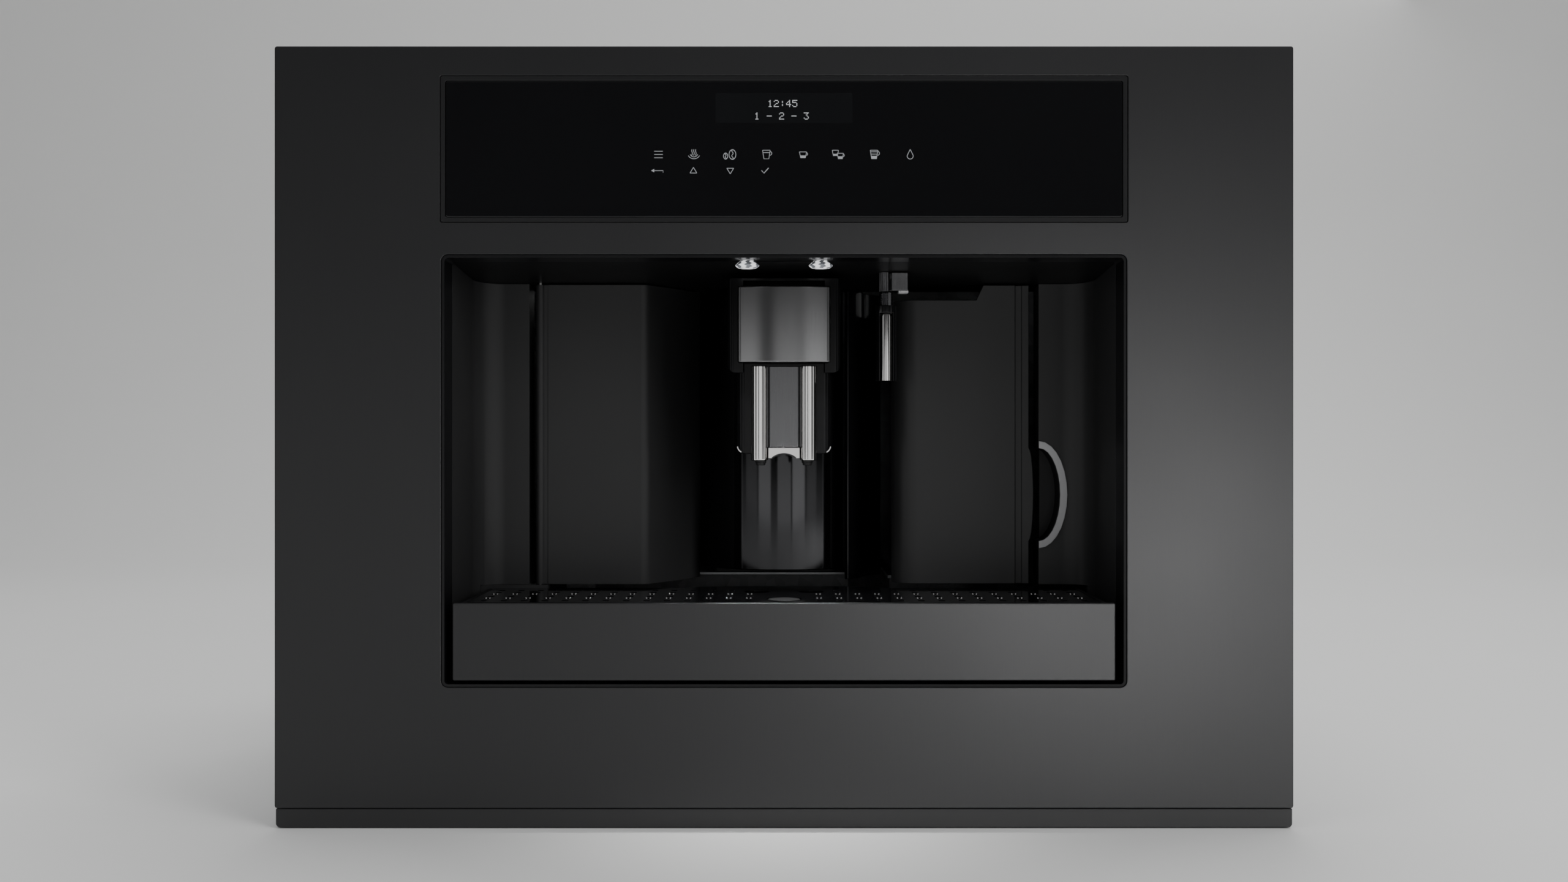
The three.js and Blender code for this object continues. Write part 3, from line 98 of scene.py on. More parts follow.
class Look:
    """A principled material, with the ways in which textures move its sockets."""

    def __init__(self, name, colour, roughness, metallic=0.0, **sockets):
        """Sockets are the shader's other inputs by name, with _ for a space."""
        material = bpy.data.materials.new(name)
        material.use_nodes = True
        material.diffuse_color = (*colour, 1)
        MATERIALS[name] = material
        self.colour = colour
        self.tree = material.node_tree
        self.shader = self.tree.nodes["Principled BSDF"]
        sockets.update(Base_Color=(*colour, 1), Roughness=roughness, Metallic=metallic)
        for key, value in sockets.items():
            self.shader.inputs[key.replace("_", " ")].default_value = value

    def link(self, output, socket):
        self.tree.links.new(output, self.shader.inputs[socket])

    def texture(self, kind, stretch=EVEN, **inputs):
        """A texture on the object's own coordinates, in metres."""
        place = add_node(self.tree, "ShaderNodeTexCoord")
        mapping = add_node(self.tree, "ShaderNodeMapping", Scale=stretch)
        self.tree.links.new(place.outputs["Object"], mapping.inputs["Vector"])
        node = add_node(self.tree, kind, **inputs)
        self.tree.links.new(mapping.outputs["Vector"], node.inputs["Vector"])
        return node

    def noise(self, size, detail, stretch=EVEN, roughness=0.5):
        inputs = {"Scale": size, "Detail": detail, "Roughness": roughness}
        return self.texture("ShaderNodeTexNoise", stretch, **inputs).outputs["Fac"]

    def tint(self, value, dark, light):
        """Moves the colour between two shades of itself."""
        mix = add_node(self.tree, "ShaderNodeMix", data_type="RGBA")
        mix.inputs[6].default_value = (*shade(self.colour, dark), 1)
        mix.inputs[7].default_value = (*shade(self.colour, light), 1)
        self.tree.links.new(value, mix.inputs[0])
        self.link(mix.outputs[2], "Base Color")

    def vary(self, value, low, high, socket="Roughness"):
        self.link(ramp(self.tree, value, low, high), socket)

    def bump(self, height, strength, distance):
        """Adds a relief of a depth in mm to those that are there."""
        node = add_node(self.tree, "ShaderNodeBump", Strength=strength, Distance=distance * MM)
        self.tree.links.new(height, node.inputs["Height"])
        normal = self.shader.inputs["Normal"]
        if normal.is_linked:
            self.tree.links.new(normal.links[0].from_socket, node.inputs["Normal"])
        self.link(node.outputs["Normal"], "Normal")


def panel_paint():
    """Satin anthracite coating with a fine upright grain."""
    look = Look("panel_paint", (0.012, 0.012, 0.0128), 0.4, 0.2, Specular_IOR_Level=0.55)
    grain = look.noise(2.0, 4.0, (900, 900, 14), 0.6)
    look.tint(grain, 0.86, 1.16)
    look.vary(look.noise(9.0, 2.0), 0.36, 0.44)
    look.bump(grain, 0.12, 0.02)
    look.bump(look.noise(1600.0, 2.0), 0.1, 0.02)


def moulded(name, colour, roughness, texture_size, strength):
    """Moulded plastic with a fine spark-eroded texture."""
    look = Look(name, colour, roughness, Specular_IOR_Level=0.42)
    cloud = look.noise(14.0, 3.0)
    look.tint(cloud, 0.85, 1.2)
    look.vary(cloud, roughness - 0.05, roughness + 0.05)
    look.bump(look.noise(texture_size, 2.0), strength, 0.05)


def glossy(name, colour, roughness, level=0.5, coat=0.4):
    """Polished plastic with a faint flow and hairline scratches."""
    sockets = {"Specular_IOR_Level": level, "Coat_Weight": coat, "Coat_Roughness": 0.04}
    look = Look(name, colour, roughness, **sockets)
    cloud = look.noise(22.0, 2.0)
    look.tint(cloud, 1.0, 1.5)
    look.vary(cloud, roughness * 0.8, roughness * 1.35)
    look.bump(look.noise(3.0, 5.0, (60, 900, 300), 0.7), 0.03, 0.01)


def brushed(name, colour, roughness, stretch):
    """Metal with fine lines along the axis of the smallest stretch."""
    look = Look(name, colour, roughness, 1.0)
    lines = look.noise(2.0, 5.0, stretch, 0.7)
    look.tint(lines, 0.8, 1.2)
    look.vary(lines, roughness - 0.07, roughness + 0.09)
    look.bump(lines, 0.18, 0.02)


def fine_steel(name, colour, roughness):
    """Finely ground sheet: upright hairlines that hardly show."""
    look = Look(name, colour, roughness, 1.0)
    lines = look.noise(2.0, 4.0, (2200, 2200, 9), 0.6)
    look.tint(lines, 0.92, 1.08)
    look.vary(lines, roughness - 0.02, roughness + 0.04)
    look.bump(lines, 0.06, 0.01)


def polished(name, colour, roughness):
    """Plated metal, a little uneven in gloss."""
    look = Look(name, colour, roughness, 1.0)
    cloud = look.noise(60.0, 3.0)
    look.tint(cloud, 0.95, 1.03)
    look.vary(cloud, roughness * 0.7, roughness * 1.5)


def zinc_sheet():
    """Zinc coated sheet with its spangle."""
    look = Look("zinc_sheet", (0.46, 0.47, 0.48), 0.42, 0.85)
    spangle = look.texture("ShaderNodeTexVoronoi", Scale=130.0, Randomness=1.0)
    tone = add_node(look.tree, "ShaderNodeSeparateColor")
    look.tree.links.new(spangle.outputs["Color"], tone.inputs["Color"])
    look.tint(tone.outputs["Red"], 0.8, 1.15)
    look.vary(tone.outputs["Red"], 0.34, 0.52)
    look.bump(look.noise(300.0, 3.0), 0.08, 0.03)


def display_glass():
    """Black glass: a deep coat over a dark print."""
    colour = (0.0035, 0.0035, 0.004)
    look = Look("display_glass", colour, 0.04, Coat_Weight=1.0, Coat_Roughness=0.02)
    cloud = look.noise(5.0, 2.0)
    look.tint(cloud, 1.0, 1.8)
    look.vary(cloud, 0.03, 0.06)
    look.bump(look.noise(12.0, 1.0), 0.02, 0.05)


def smoked_clear():
    """Clear plastic with a grey tint, moulded a little unevenly."""
    sockets = {"Transmission_Weight": 0.75, "IOR": 1.49, "Coat_Weight": 0.2}
    look = Look("smoked_clear", (0.16, 0.17, 0.18), 0.08, **sockets)
    cloud = look.noise(18.0, 2.0)
    look.tint(cloud, 0.9, 1.2)
    look.vary(cloud, 0.06, 0.14)
    look.bump(look.noise(90.0, 2.0), 0.04, 0.05)


def lamp_glass():
    """Lit glass with a cellular cut."""
    colour = (0.95, 0.97, 1.0)
    sockets = {"Transmission_Weight": 0.9, "IOR": 1.5, "Emission_Color": (*colour, 1)}
    look = Look("lamp_glass", colour, 0.05, **sockets)
    cut = look.texture("ShaderNodeTexVoronoi", Scale=420.0).outputs["Distance"]
    look.link(ramp(look.tree, cut, 3.2, 0.3, 0.0, 0.6), "Emission Strength")
    look.bump(cut, 0.5, 0.4)


def circuit_board():
    """Green lacquer over a pattern of tracks."""
    colour = (0.012, 0.09, 0.035)
    look = Look("circuit_board", colour, 0.35, Coat_Weight=0.3)
    tracks = look.texture("ShaderNodeTexBrick", Scale=160.0, offset=0.5, Mortar_Size=0.03)
    tracks.inputs["Color1"].default_value = (*colour, 1)
    tracks.inputs["Color2"].default_value = (*shade(colour, 0.7), 1)
    tracks.inputs["Mortar"].default_value = (0.02, 0.15, 0.06, 1)
    look.link(tracks.outputs["Color"], "Base Color")
    look.bump(tracks.outputs["Fac"], 0.2, 0.05)


def lit(name, colour, strength):
    """A surface that glows, not quite evenly."""
    look = Look(name, shade(colour, 0.4), 0.4, Emission_Color=(*colour, 1))
    glow = look.noise(250.0, 2.0)
    look.vary(glow, strength * 0.85, strength * 1.1, "Emission Strength")


def rubber():
    """Matt black rubber with a fine grain."""
    look = Look("rubber", (0.012, 0.012, 0.012), 0.75)
    grain = look.noise(700.0, 3.0)
    look.tint(grain, 1.0, 1.8)
    look.bump(grain, 0.3, 0.05)


def studio_floor():
    """Pale card, a little cloudy."""
    look = Look("studio_floor", (0.82, 0.82, 0.81), 0.85)
    look.tint(look.noise(3.0, 2.0), 0.985, 1.01)


def make_materials():
    panel_paint()
    moulded("satin_black", (0.0125, 0.0125, 0.013), 0.5, 2600.0, 0.25)
    moulded("column_black", (0.026, 0.026, 0.0265), 0.42, 3000.0, 0.15)
    moulded("ceiling_black", (0.003, 0.003, 0.0033), 0.5, 2600.0, 0.2)
    moulded("silver_plastic", (0.56, 0.56, 0.57), 0.38, 2400.0, 0.12)
    glossy("gloss_black", (0.0045, 0.0045, 0.005), 0.1)
    glossy("deep_black", (0.003, 0.003, 0.0033), 0.16, 0.22, 0.0)
    glossy("lip_black", (0.005, 0.005, 0.0055), 0.32, 0.3, 0.0)
    glossy("screen", (0.0065, 0.0068, 0.0075), 0.06)
    brushed("brushed_steel", (0.3, 0.3, 0.31), 0.34, (900, 900, 20))
    brushed("dark_steel", (0.09, 0.09, 0.095), 0.3, (900, 900, 20))
    brushed("plate_steel", (0.17, 0.17, 0.175), 0.24, (900, 900, 30))
    brushed("cast_alloy", (0.5, 0.5, 0.5), 0.5, (120, 120, 120))
    brushed("screw_zinc", (0.55, 0.56, 0.55), 0.32, (300, 300, 300))
    fine_steel("head_steel", (0.25, 0.25, 0.253), 0.19)
    polished("dark_chrome", (0.085, 0.085, 0.088), 0.1)
    polished("belly_black", (0.05, 0.05, 0.052), 0.08)
    polished("chrome", (0.78, 0.77, 0.76), 0.08)
    lit("lamp_bright", (0.97, 0.98, 1.0), 1.1)
    lit("lamp_dim", (0.8, 0.84, 0.92), 0.03)
    lit("lit_sign", (0.85, 0.87, 0.9), 0.55)
    lit("dim_sign", (0.6, 0.62, 0.65), 0.3)
    display_glass()
    lamp_glass()
    smoked_clear()
    zinc_sheet()
    circuit_board()
    rubber()
    studio_floor()


# ---------- pieces ----------


WELD = 0.01 * MM  # corners of a CAD mesh that are this near become one
FLAT = 0.5  # degrees between faces that become one
EDGE_ANGLE = 32  # degrees above which a rounded copy keeps an edge sharp


def add_object(name, data):
    made = bpy.data.objects.new(name, data)
    bpy.context.scene.collection.objects.link(made)
    return made


def new_object(name, bm, material, body, smooth_angle=40):
    """Makes a mesh object of bm, shades it smooth up to an angle, and lets it ride on a body."""
    bmesh.ops.recalc_face_normals(bm, faces=bm.faces)
    smooth(bm, smooth_angle)
    mesh = bpy.data.meshes.new(name)
    bm.to_mesh(mesh)
    bm.free()
    piece = add_object(name, mesh)
    for each in [material] if isinstance(material, str) else material:
        mesh.materials.append(MATERIALS[each])
    steady = piece.modifiers.new("steady_normals", "WEIGHTED_NORMAL")
    steady.keep_sharp = True
    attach(piece, body)
    return piece


def smooth(bm, angle):
    """Smooths the faces, and keeps the edges that turn by more than the angle sharp."""
    limit = math.radians(angle)
    bm.normal_update()
    for face in bm.faces:
        face.smooth = True
    for edge in bm.edges:
        edge.smooth = len(edge.link_faces) == 2 and edge.calc_face_angle(0) < limit


def to_point(x, z, depth):
    """A point at x and z, in mm, and a depth in mm behind the front face."""
    return Vector((x * MM, FRONT + depth * MM, z * MM))


def from_above(x, depth, z):
    """The same point for outlines that are drawn in plan."""
    return to_point(x, z, depth)


def join_rings(bm, first, second, closed=True):
    count = len(first)
    for i in range(count if closed else count - 1):
        j = (i + 1) % count
        bm.faces.new((first[i], first[j], second[j], second[i]))


def lofted(bm, sections, place=to_point, hollow=False):
    """
    Adds the skin through sections of (outline, w), each with the same count of points. Place maps
    (u, v, w) to a point. The ends are closed, or joined to each other in a hollow ring.
    """
    rings = [[bm.verts.new(place(u, v, w)) for u, v in outline] for outline, w in sections]
    for first, second in zip(rings, rings[1:]):
        join_rings(bm, first, second)
    if hollow:
        join_rings(bm, rings[-1], rings[0])
    else:
        bm.faces.new(rings[0])
        bm.faces.new(reversed(rings[-1]))


def prism(bm, outline, near, far, place=to_point):
    lofted(bm, [(outline, near), (outline, far)], place)


def turned(bm, profile, x, depth, steps):
    """Adds a turned solid on an upright axis; the profile is of (radius, z)."""
    lofted(bm, [(circle(x, depth, radius, steps), z) for radius, z in profile], from_above)


def arc(cx, cy, radius, start, end, steps, ratio=1.0):
    """Points of an arc in degrees; ratio stretches it along the second axis."""
    points = []
    for i in range(steps + 1):
        angle = math.radians(start + (end - start) * i / steps)
        points.append((cx + radius * math.cos(angle), cy + radius * ratio * math.sin(angle)))
    return points


def circle(cx, cy, radius, steps):
    return arc(cx, cy, radius, 0, 360 - 360 / steps, steps - 1)


def quarter_round(size, steps):
    """(inset, rise) from a wall to the face over it, round a quarter of a circle."""
    turns = [math.radians(90 * i / steps) for i in range(steps + 1)]
    return [(size * (1 - math.cos(turn)), size * math.sin(turn)) for turn in turns]


def plain_rect(x0, z0, x1, z1):
    return [(x0, z0), (x1, z0), (x1, z1), (x0, z1)]


def round_rect(x0, z0, x1, z1, radius, steps=6, inset=0.0):
    """A rectangle with round corners; inset draws all of it inwards."""
    x0, z0, x1, z1 = x0 + inset, z0 + inset, x1 - inset, z1 - inset
    r = min(max(radius - inset, 0.05), (x1 - x0) / 2 - 0.01, (z1 - z0) / 2 - 0.01)
    return (
        arc(x1 - r, z1 - r, r, 0, 90, steps)
        + arc(x0 + r, z1 - r, r, 90, 180, steps)
        + arc(x0 + r, z0 + r, r, 180, 270, steps)
        + arc(x1 - r, z0 + r, r, 270, 360, steps)
    )


def soft_plate(bm, sides, corner, depths, edge):
    """
    Adds an upright plate with a rounded front edge. Sides are its left, foot, right and top,
    depths its front and back.
    """
    near, far = depths
    sections = []
    for inset, rise in reversed(quarter_round(edge, 3)):
        sections.append((round_rect(*sides, corner, inset=inset), near + edge - rise))
    sections.append((round_rect(*sides, corner), far))
    lofted(bm, sections)


def plate_piece(name, material, body, slot, *plates):
    """One piece of plates, each given as soft_plate takes it."""
    bm = bmesh.new()
    for plate in plates:
        soft_plate(bm, *plate)
    return new_object(name, bm, material, body)


def bevel_edges(bm, width, angle=40, segments=3):
    """Rounds the edges that turn by the angle or more."""
    limit = math.radians(angle)
    edges = [e for e in bm.edges if len(e.link_faces) == 2 and e.calc_face_angle(0) >= limit]
    ways = {"segments": segments, "profile": 0.5, "affect": "EDGES", "clamp_overlap": True}
    bmesh.ops.bevel(bm, geom=edges, offset=width * MM, **ways)


def copy_of(node):
    """The mesh of a CAD node as a bmesh, with its flat faces joined."""
    bm = bmesh.new()
    bm.from_mesh(nodes[node].data)
    bmesh.ops.remove_doubles(bm, verts=bm.verts, dist=WELD)
    limit = math.radians(FLAT)
    bmesh.ops.dissolve_limit(
        bm, angle_limit=limit, verts=bm.verts, edges=bm.edges, use_dissolve_boundaries=False
    )
    return bm


# ---------- every CAD node ----------


RECORD = frame["record"]
BODY_OF = {
    node: body for body, members in RECORD["behaviour"]["bodies"].items() for node in members
}
SLOT_OF = {part["node"]: part["material_slot"] for part in RECORD["subparts"]}

# Nodes that keep their shape and get rounded edges: the width of the round in mm.
ROUNDED = dict(
    front_panel=0.7, bottom_trim=0.6, front_frame=0.3, display_bezel=0.35, display_glass=0.35,
    recess_lip=0.4, recess_ceiling=0.3, recess_floor=0.5, cheek_left=0.5, cheek_right=0.5,
    finger_pocket=0.4, grip_crescent=0.3, hinge_pin_low=0.3, hinge_pin_high=0.3, door_shell=0.6,
    door_belly=0.6, core_cover=0.5, spout_housing=0.5, spout_body=0.9, hot_water_sleeve=0.5,
    tank_front=0.6, water_tank=0.5, tank_lid=0.6, drip_tray=0.4, tray_front=0.7, tray_float=0.5,
    chassis_base=0.4, side_panel_left=0.3, side_panel_right=0.3, top_cover=0.3, rear_cover=0.4,
    mains_inlet=0.6, main_switch=0.5, bean_hopper=0.5, bean_lid=0.8, grind_knob=0.6, grinder=0.6,
    lower_burr=0.4, brewing_unit=0.6, brew_piston=0.5, grounds_container=0.6, inner_shelf=0.4,
    tank_shelf=0.4, pump=0.6, boiler=0.8, display_board=0.1, power_board=0.2,
    cabinet_rail_left=0.3, cabinet_rail_right=0.3, middle_rail_left=0.3, middle_rail_right=0.3,
)

# Their materials, where they aren't the slot's own.
LOOK_OF = dict(
    recess_lip="lip_black", recess_ceiling="ceiling_black", cheek_left="column_black",
    cheek_right="column_black", door_shell="column_black", tank_front="column_black",
    door_belly="belly_black", spout_housing="deep_black", spout_body="deep_black",
    grinder="cast_alloy", boiler="cast_alloy",
)


def rounded_copy(node, width):
    """Stands for a CAD node, with its sharp edges rounded."""
    bm = copy_of(node)
    bevel_edges(bm, width)
    slot = SLOT_OF[node]
    material = LOOK_OF.get(node, slot)
    piece = new_object(node + "_skin", bm, material, BODY_OF[node], EDGE_ANGLE)
    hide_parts(node)


def round_nodes():
    for node, width in ROUNDED.items():
        rounded_copy(node, width)


def paint_nodes():
    """Nodes that show as they are get their slot's material."""
    for name, node in nodes.items():
        node.data.materials.clear()
        node.data.materials.append(MATERIALS[SLOT_OF[name]])


def axis_of(node):
    """Where an upright round node stands: its axis's x and depth, its radius, foot and top in mm."""
    low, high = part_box(node)
    x = (low.x + high.x) / 2 / MM
    depth = ((low.y + high.y) / 2 - FRONT) / MM
    return x, depth, (high.x - low.x) / 2 / MM, low.z / MM, high.z / MM


# ---------- camera, light and floor ----------


# Places and lengths in metres, but for the camera's own two in mm.
EYE_DISTANCE = 0.890
EYE_HEIGHT = 0.2259
SENSOR_WIDTH = 36
LENS_LENGTH = 35

# Lights by name, place, aim, size and power in W: those that no reflection shows, and the others.
MATT_LIGHTS = (
    ("key", (1.9, -2.0, 1.15), (0, 0, 0.2), (1.1, 1.7), 34),
    ("fill", (-2.2, -1.7, 1.5), (0, -0.1, 0.25), (1.1, 1.3), 7),
)
OTHER_LIGHTS = (
    ("side_left", (-1.38, -0.75, 0.24), (0, -0.16, 0.24), (0.48, 0.4), 0.4),
    ("side_right", (1.38, -0.75, 0.24), (0, -0.16, 0.24), (0.48, 0.4), 0.3),
    ("top", (0.2, 0.3, 2.6), (0, 0, 0.2), (2.0, 1.6), 30),
    ("rear", (0.6, 2.4, 1.6), (0, 0.1, 0.2), (1.6, 1.2), 24),
)
LOW_GLOW = ("low_glow", (0.47, -1.5, 0.07), (0.2, -0.2, 0.1), (0.5, 0.12), 5.6)
PAINTED_FRONT = ("front_panel_skin", "bottom_trim_skin", "tray_front_skin", "front_frame_skin")

# The soft panes before the object: left edge, right edge, radiance.
FRONT_STRIPS = (
    (-3.0, -1.75, 0.3), (-1.6, -0.72, 1.0), (-0.3, 0.5, 0.8), (0.6, 1.4, 1.35), (1.55, 2.6, 0.35),
)
STRIP_Y = -2.65
STRIP_Z = 0.24
STRIP_HEIGHT = 0.44

CUP_LIGHT_SIZE = 7 * MM
CUP_LIGHT_POWER = 0.05
CUP_LIGHT_SPREAD = 60
CUP_LIGHT_DROP = 0.8 * MM  # below the foot of its lens
CUP_LIGHT_LEAN = 0.02  # how far back it has turned at the floor

FLOOR_FRONT = -8.0
FLOOR_HALF = 9
FLOOR_DROP = 0.0005
WALL_DISTANCE = 1.6
WALL_TOP = 6.0
WALL_BEND = 0.8


def make_camera():
    data = bpy.data.cameras.new("camera")
    data.sensor_width = SENSOR_WIDTH
    data.lens = LENS_LENGTH
    data.clip_start = 0.01
    camera = add_object("camera", data)
    camera.location = (0, FRONT - EYE_DISTANCE, EYE_HEIGHT)
    camera.rotation_euler = (math.radians(90), 0, 0)
    bpy.context.scene.camera = camera


def make_light(name, place, aim, size, power):
    data = bpy.data.lights.new(name, "AREA")
    data.shape = "RECTANGLE"
    data.size, data.size_y = size
    data.energy = power
    lamp = add_object(name, data)
    lamp.location = place
    lamp.rotation_euler = (Vector(aim) - Vector(place)).to_track_quat("-Z", "Y").to_euler()
    return lamp


def make_lights():
    for light in MATT_LIGHTS:
        make_light(*light).visible_glossy = False
    for i, (left, right, radiance) in enumerate(FRONT_STRIPS):
        width = right - left
        middle = (left + right) / 2
        place, aim = (middle, STRIP_Y, STRIP_Z), (middle, 0, STRIP_Z)
        power = radiance * math.pi * width * STRIP_HEIGHT
        make_light("front_strip_%d" % i, place, aim, (width, STRIP_HEIGHT), power)
    for light in OTHER_LIGHTS:
        make_light(*light)


def make_cup_lights():
    """The light that the two lamps of the recess throw on the grid."""
    size = (CUP_LIGHT_SIZE, CUP_LIGHT_SIZE)
    for side, _ in SIDES:
        node = "lamp_lens_" + side
        x, depth, _, foot, _ = axis_of(node)
        place = to_point(x, foot, depth) - Vector((0, 0, CUP_LIGHT_DROP))
        aim = (place.x, place.y + CUP_LIGHT_LEAN, 0)
        lamp = make_light(node + "_light", place, aim, size, CUP_LIGHT_POWER)
        lamp.visible_camera = False
        lamp.data.spread = math.radians(CUP_LIGHT_SPREAD)
        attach(lamp, "machine")


def make_glow():
    """The soft light low on the right that only the painted front takes."""
    glow = make_light(*LOW_GLOW)
    painted = bpy.data.collections.new("painted_front")
    for name in PAINTED_FRONT:
        painted.objects.link(bpy.data.objects[name])
    glow.light_linking.receiver_collection = painted


def make_world():
    """A soft sky that is dim near the horizon, seen as a pale wall by the camera."""
    world = bpy.data.worlds.new("studio")
    bpy.context.scene.world = world
    world.use_nodes = True
    tree = world.node_tree
    sky = tree.nodes["Background"]
    sky.inputs["Color"].default_value = (0.97, 0.98, 1.0, 1)
    place = add_node(tree, "ShaderNodeTexCoord")
    parts = add_node(tree, "ShaderNodeSeparateXYZ")
    tree.links.new(place.outputs["Generated"], parts.inputs["Vector"])
    tree.links.new(ramp(tree, parts.outputs["Z"], 0.03, 0.6, 0.28, 0.9), sky.inputs["Strength"])
    wall = add_node(tree, "ShaderNodeBackground", Color=(0.93, 0.93, 0.93, 1), Strength=1.0)
    path = add_node(tree, "ShaderNodeLightPath")
    mix = add_node(tree, "ShaderNodeMixShader")
    tree.links.new(path.outputs["Is Camera Ray"], mix.inputs[0])
    tree.links.new(sky.outputs[0], mix.inputs[1])
    tree.links.new(wall.outputs[0], mix.inputs[2])
    tree.links.new(mix.outputs[0], tree.nodes["World Output"].inputs["Surface"])


def make_floor():
    """A pale floor that curves up into a backdrop behind the object."""
    bm = bmesh.new()
    bend = arc(WALL_DISTANCE, WALL_BEND, WALL_BEND, 270, 360, 12)
    section = [(FLOOR_FRONT, 0.0), *bend, (WALL_DISTANCE + WALL_BEND, WALL_TOP)]
    rings = []
    for x in (-FLOOR_HALF, FLOOR_HALF):
        rings.append([bm.verts.new((x, y, z - FLOOR_DROP)) for y, z in section])
    join_rings(bm, rings[1], rings[0], closed=False)
    for face in bm.faces:
        face.smooth = True
    mesh = bpy.data.meshes.new("studio_floor")
    bm.to_mesh(mesh)
    bm.free()
    mesh.materials.append(MATERIALS["studio_floor"])
    floor = add_object("studio_floor", mesh)


# ---------- display ----------


# All in mm.
GLASS_FACE = 0.3  # depth of the glass behind the front face
SIGN_PROUD = 0.04  # how far a sign stands out of the glass
SIGN_SUNK = 0.02
SCREEN = ((-40, 411.8, 40, 428.9), 0.6, (GLASS_FACE - 0.02, GLASS_FACE + 0.02), 0.01)
CLOCK_PLACE = (-9.3, 421.2)
RANGE_PLACE = (-17.0, 413.9)
DOT_PITCH = 0.6  # of a character's dots
DOT_HALF = 0.38 * DOT_PITCH
LINE = 0.34  # width of the signs' lines
BOLD_LINE = 0.5
UPPER_KEYS_Z = 393.2
LOWER_KEYS_Z = 383.8

CHARACTERS = {
    "1": ("00100", "01100", "00100", "00100", "00100", "00100", "01110"),
    "2": ("01110", "10001", "00001", "00110", "01000", "10000", "11111"),
    "3": ("11111", "00010", "00100", "00010", "00001", "10001", "01110"),
    "4": ("00010", "00110", "01010", "10010", "11111", "00010", "00010"),
    "5": ("11111", "10000", "11110", "00001", "00001", "10001", "01110"),
    ":": ("00000", "00100", "00100", "00000", "00100", "00100", "00000"),
    "-": ("00000", "00000", "00000", "11111", "00000", "00000", "00000"),
    " ": ("00000",) * 7,
}


def flat_sign(bm, outline):
    """A sign's outline of (x, z) as a thin solid on the display glass."""
    prism(bm, outline, GLASS_FACE - SIGN_PROUD, GLASS_FACE + SIGN_SUNK)


def stroke(points, width):
    """The outline of a line through points."""
    left, right = [], []
    for i, (x, z) in enumerate(points):
        before = points[max(i - 1, 0)]
        after = points[min(i + 1, len(points) - 1)]
        dx, dz = after[0] - before[0], after[1] - before[1]
        size = math.hypot(dx, dz) or 1
        nx, nz = -dz / size * width / 2, dx / size * width / 2
        left.append((x + nx, z + nz))
        right.append((x - nx, z - nz))
    return left + right[::-1]


def line_sign(bm, points, x, z, width=LINE):
    flat_sign(bm, stroke([(x + u, z + v) for u, v in points], width))


def dot_text(bm, text, left, low):
    """Characters of square dots, five wide and seven high; left and low are their first foot."""
    for place, character in enumerate(text):
        for row, dots in enumerate(CHARACTERS[character]):
            for column, dot in enumerate(dots):
                if dot == "1":
                    x = left + (place * 6 + column) * DOT_PITCH
                    z = low + (6 - row) * DOT_PITCH
                    flat_sign(bm, plain_rect(x - DOT_HALF, z - DOT_HALF, x + DOT_HALF, z + DOT_HALF))


def menu_sign(bm, x, z):
    for rise in (1.9, 0, -1.9):
        line_sign(bm, [(-2.5, rise), (2.5, rise)], x, z)


def steam_sign(bm, x, z):
    """Three wisps over two nested bowls."""
    for shift in (-1.1, 0, 1.1):
        heights = [i * 0.3 - 0.6 for i in range(13)]
        line_sign(bm, [(shift + 0.22 * math.sin(v * 2.1), v) for v in heights], x, z)
    line_sign(bm, arc(0, 0.9, 2.3, 200, 340, 14), x, z)
    line_sign(bm, arc(0, 0.5, 3.5, 202, 338, 16, 0.85), x, z)


def bean(bm, x, z, size):
    """A bean with its crease; its outline is two half rings."""
    radius, ratio = 2.0 * size, 1.4
    for start in (0, 180):
        outer = arc(x, z, radius + LINE / 2, start, start + 180, 12, ratio)
        inner = arc(x, z, radius - LINE / 2, start, start + 180, 12, ratio)
        flat_sign(bm, outer + inner[::-1])
    heights = [(i - 5) * 0.5 * size for i in range(11)]
    line_sign(bm, [(0.45 * size * math.sin(v * 2.2 / size), v) for v in heights], x, z)


def bean_sign(bm, x, z):
    bean(bm, x - 2.7, z - 0.9, 0.62)
    bean(bm, x + 1.3, z, 1.0)


def cup(bm, x, z, width, height, levels=(), filled=0.0, handle=True):
    """
    A cup in outline. Levels are lines across it, and filled is how far it is solid, as shares of
    its height.
    """
    half = width / 2
    low = z - height / 2

    def side(share):
        return half * (0.66 + 0.34 * share)

    line_sign(bm, [(-half, height), (-side(0), 0), (side(0), 0), (half, height)], x, low)
    for share in (1, *levels):
        line_sign(bm, [(-side(share), height * share), (side(share), height * share)], x, low)
    if filled:
        foot = [(x - side(0), low), (x + side(0), low)]
        top = low + height * filled
        flat_sign(bm, foot + [(x + side(filled), top), (x - side(filled), top)])
    if handle:
        line_sign(bm, arc(half - 0.25, height * 0.64, height * 0.24, -80, 90, 8), x, low)


def short_cup_sign(bm, x, z):
    cup(bm, x, z - 0.2, 4.2, 3.5, (), 0.4)


def two_cups_sign(bm, x, z):
    cup(bm, x - 1.5, z + 0.9, 3.6, 3.2, (), 0.34, False)
    cup(bm, x + 1.4, z - 0.9, 3.6, 3.2, (), 0.45)


def drop_sign(bm, x, z):
    tip = (0, 3.0)
    line_sign(bm, [tip, *arc(0, -0.9, 1.75, 25, -205, 16), tip], x, z)


def back_sign(bm, x, z):
    flat_sign(bm, [(x - 3.6, z), (x - 1.8, z - 1.0), (x - 1.8, z + 1.0)])
    line_sign(bm, [(-2.0, 0), (3.4, 0), (3.4, -1.1)], x, z)


def tick_sign(bm, x, z):
    line_sign(bm, [(-2.0, 0.1), (-0.6, -1.5), (2.1, 1.6)], x, z, BOLD_LINE)


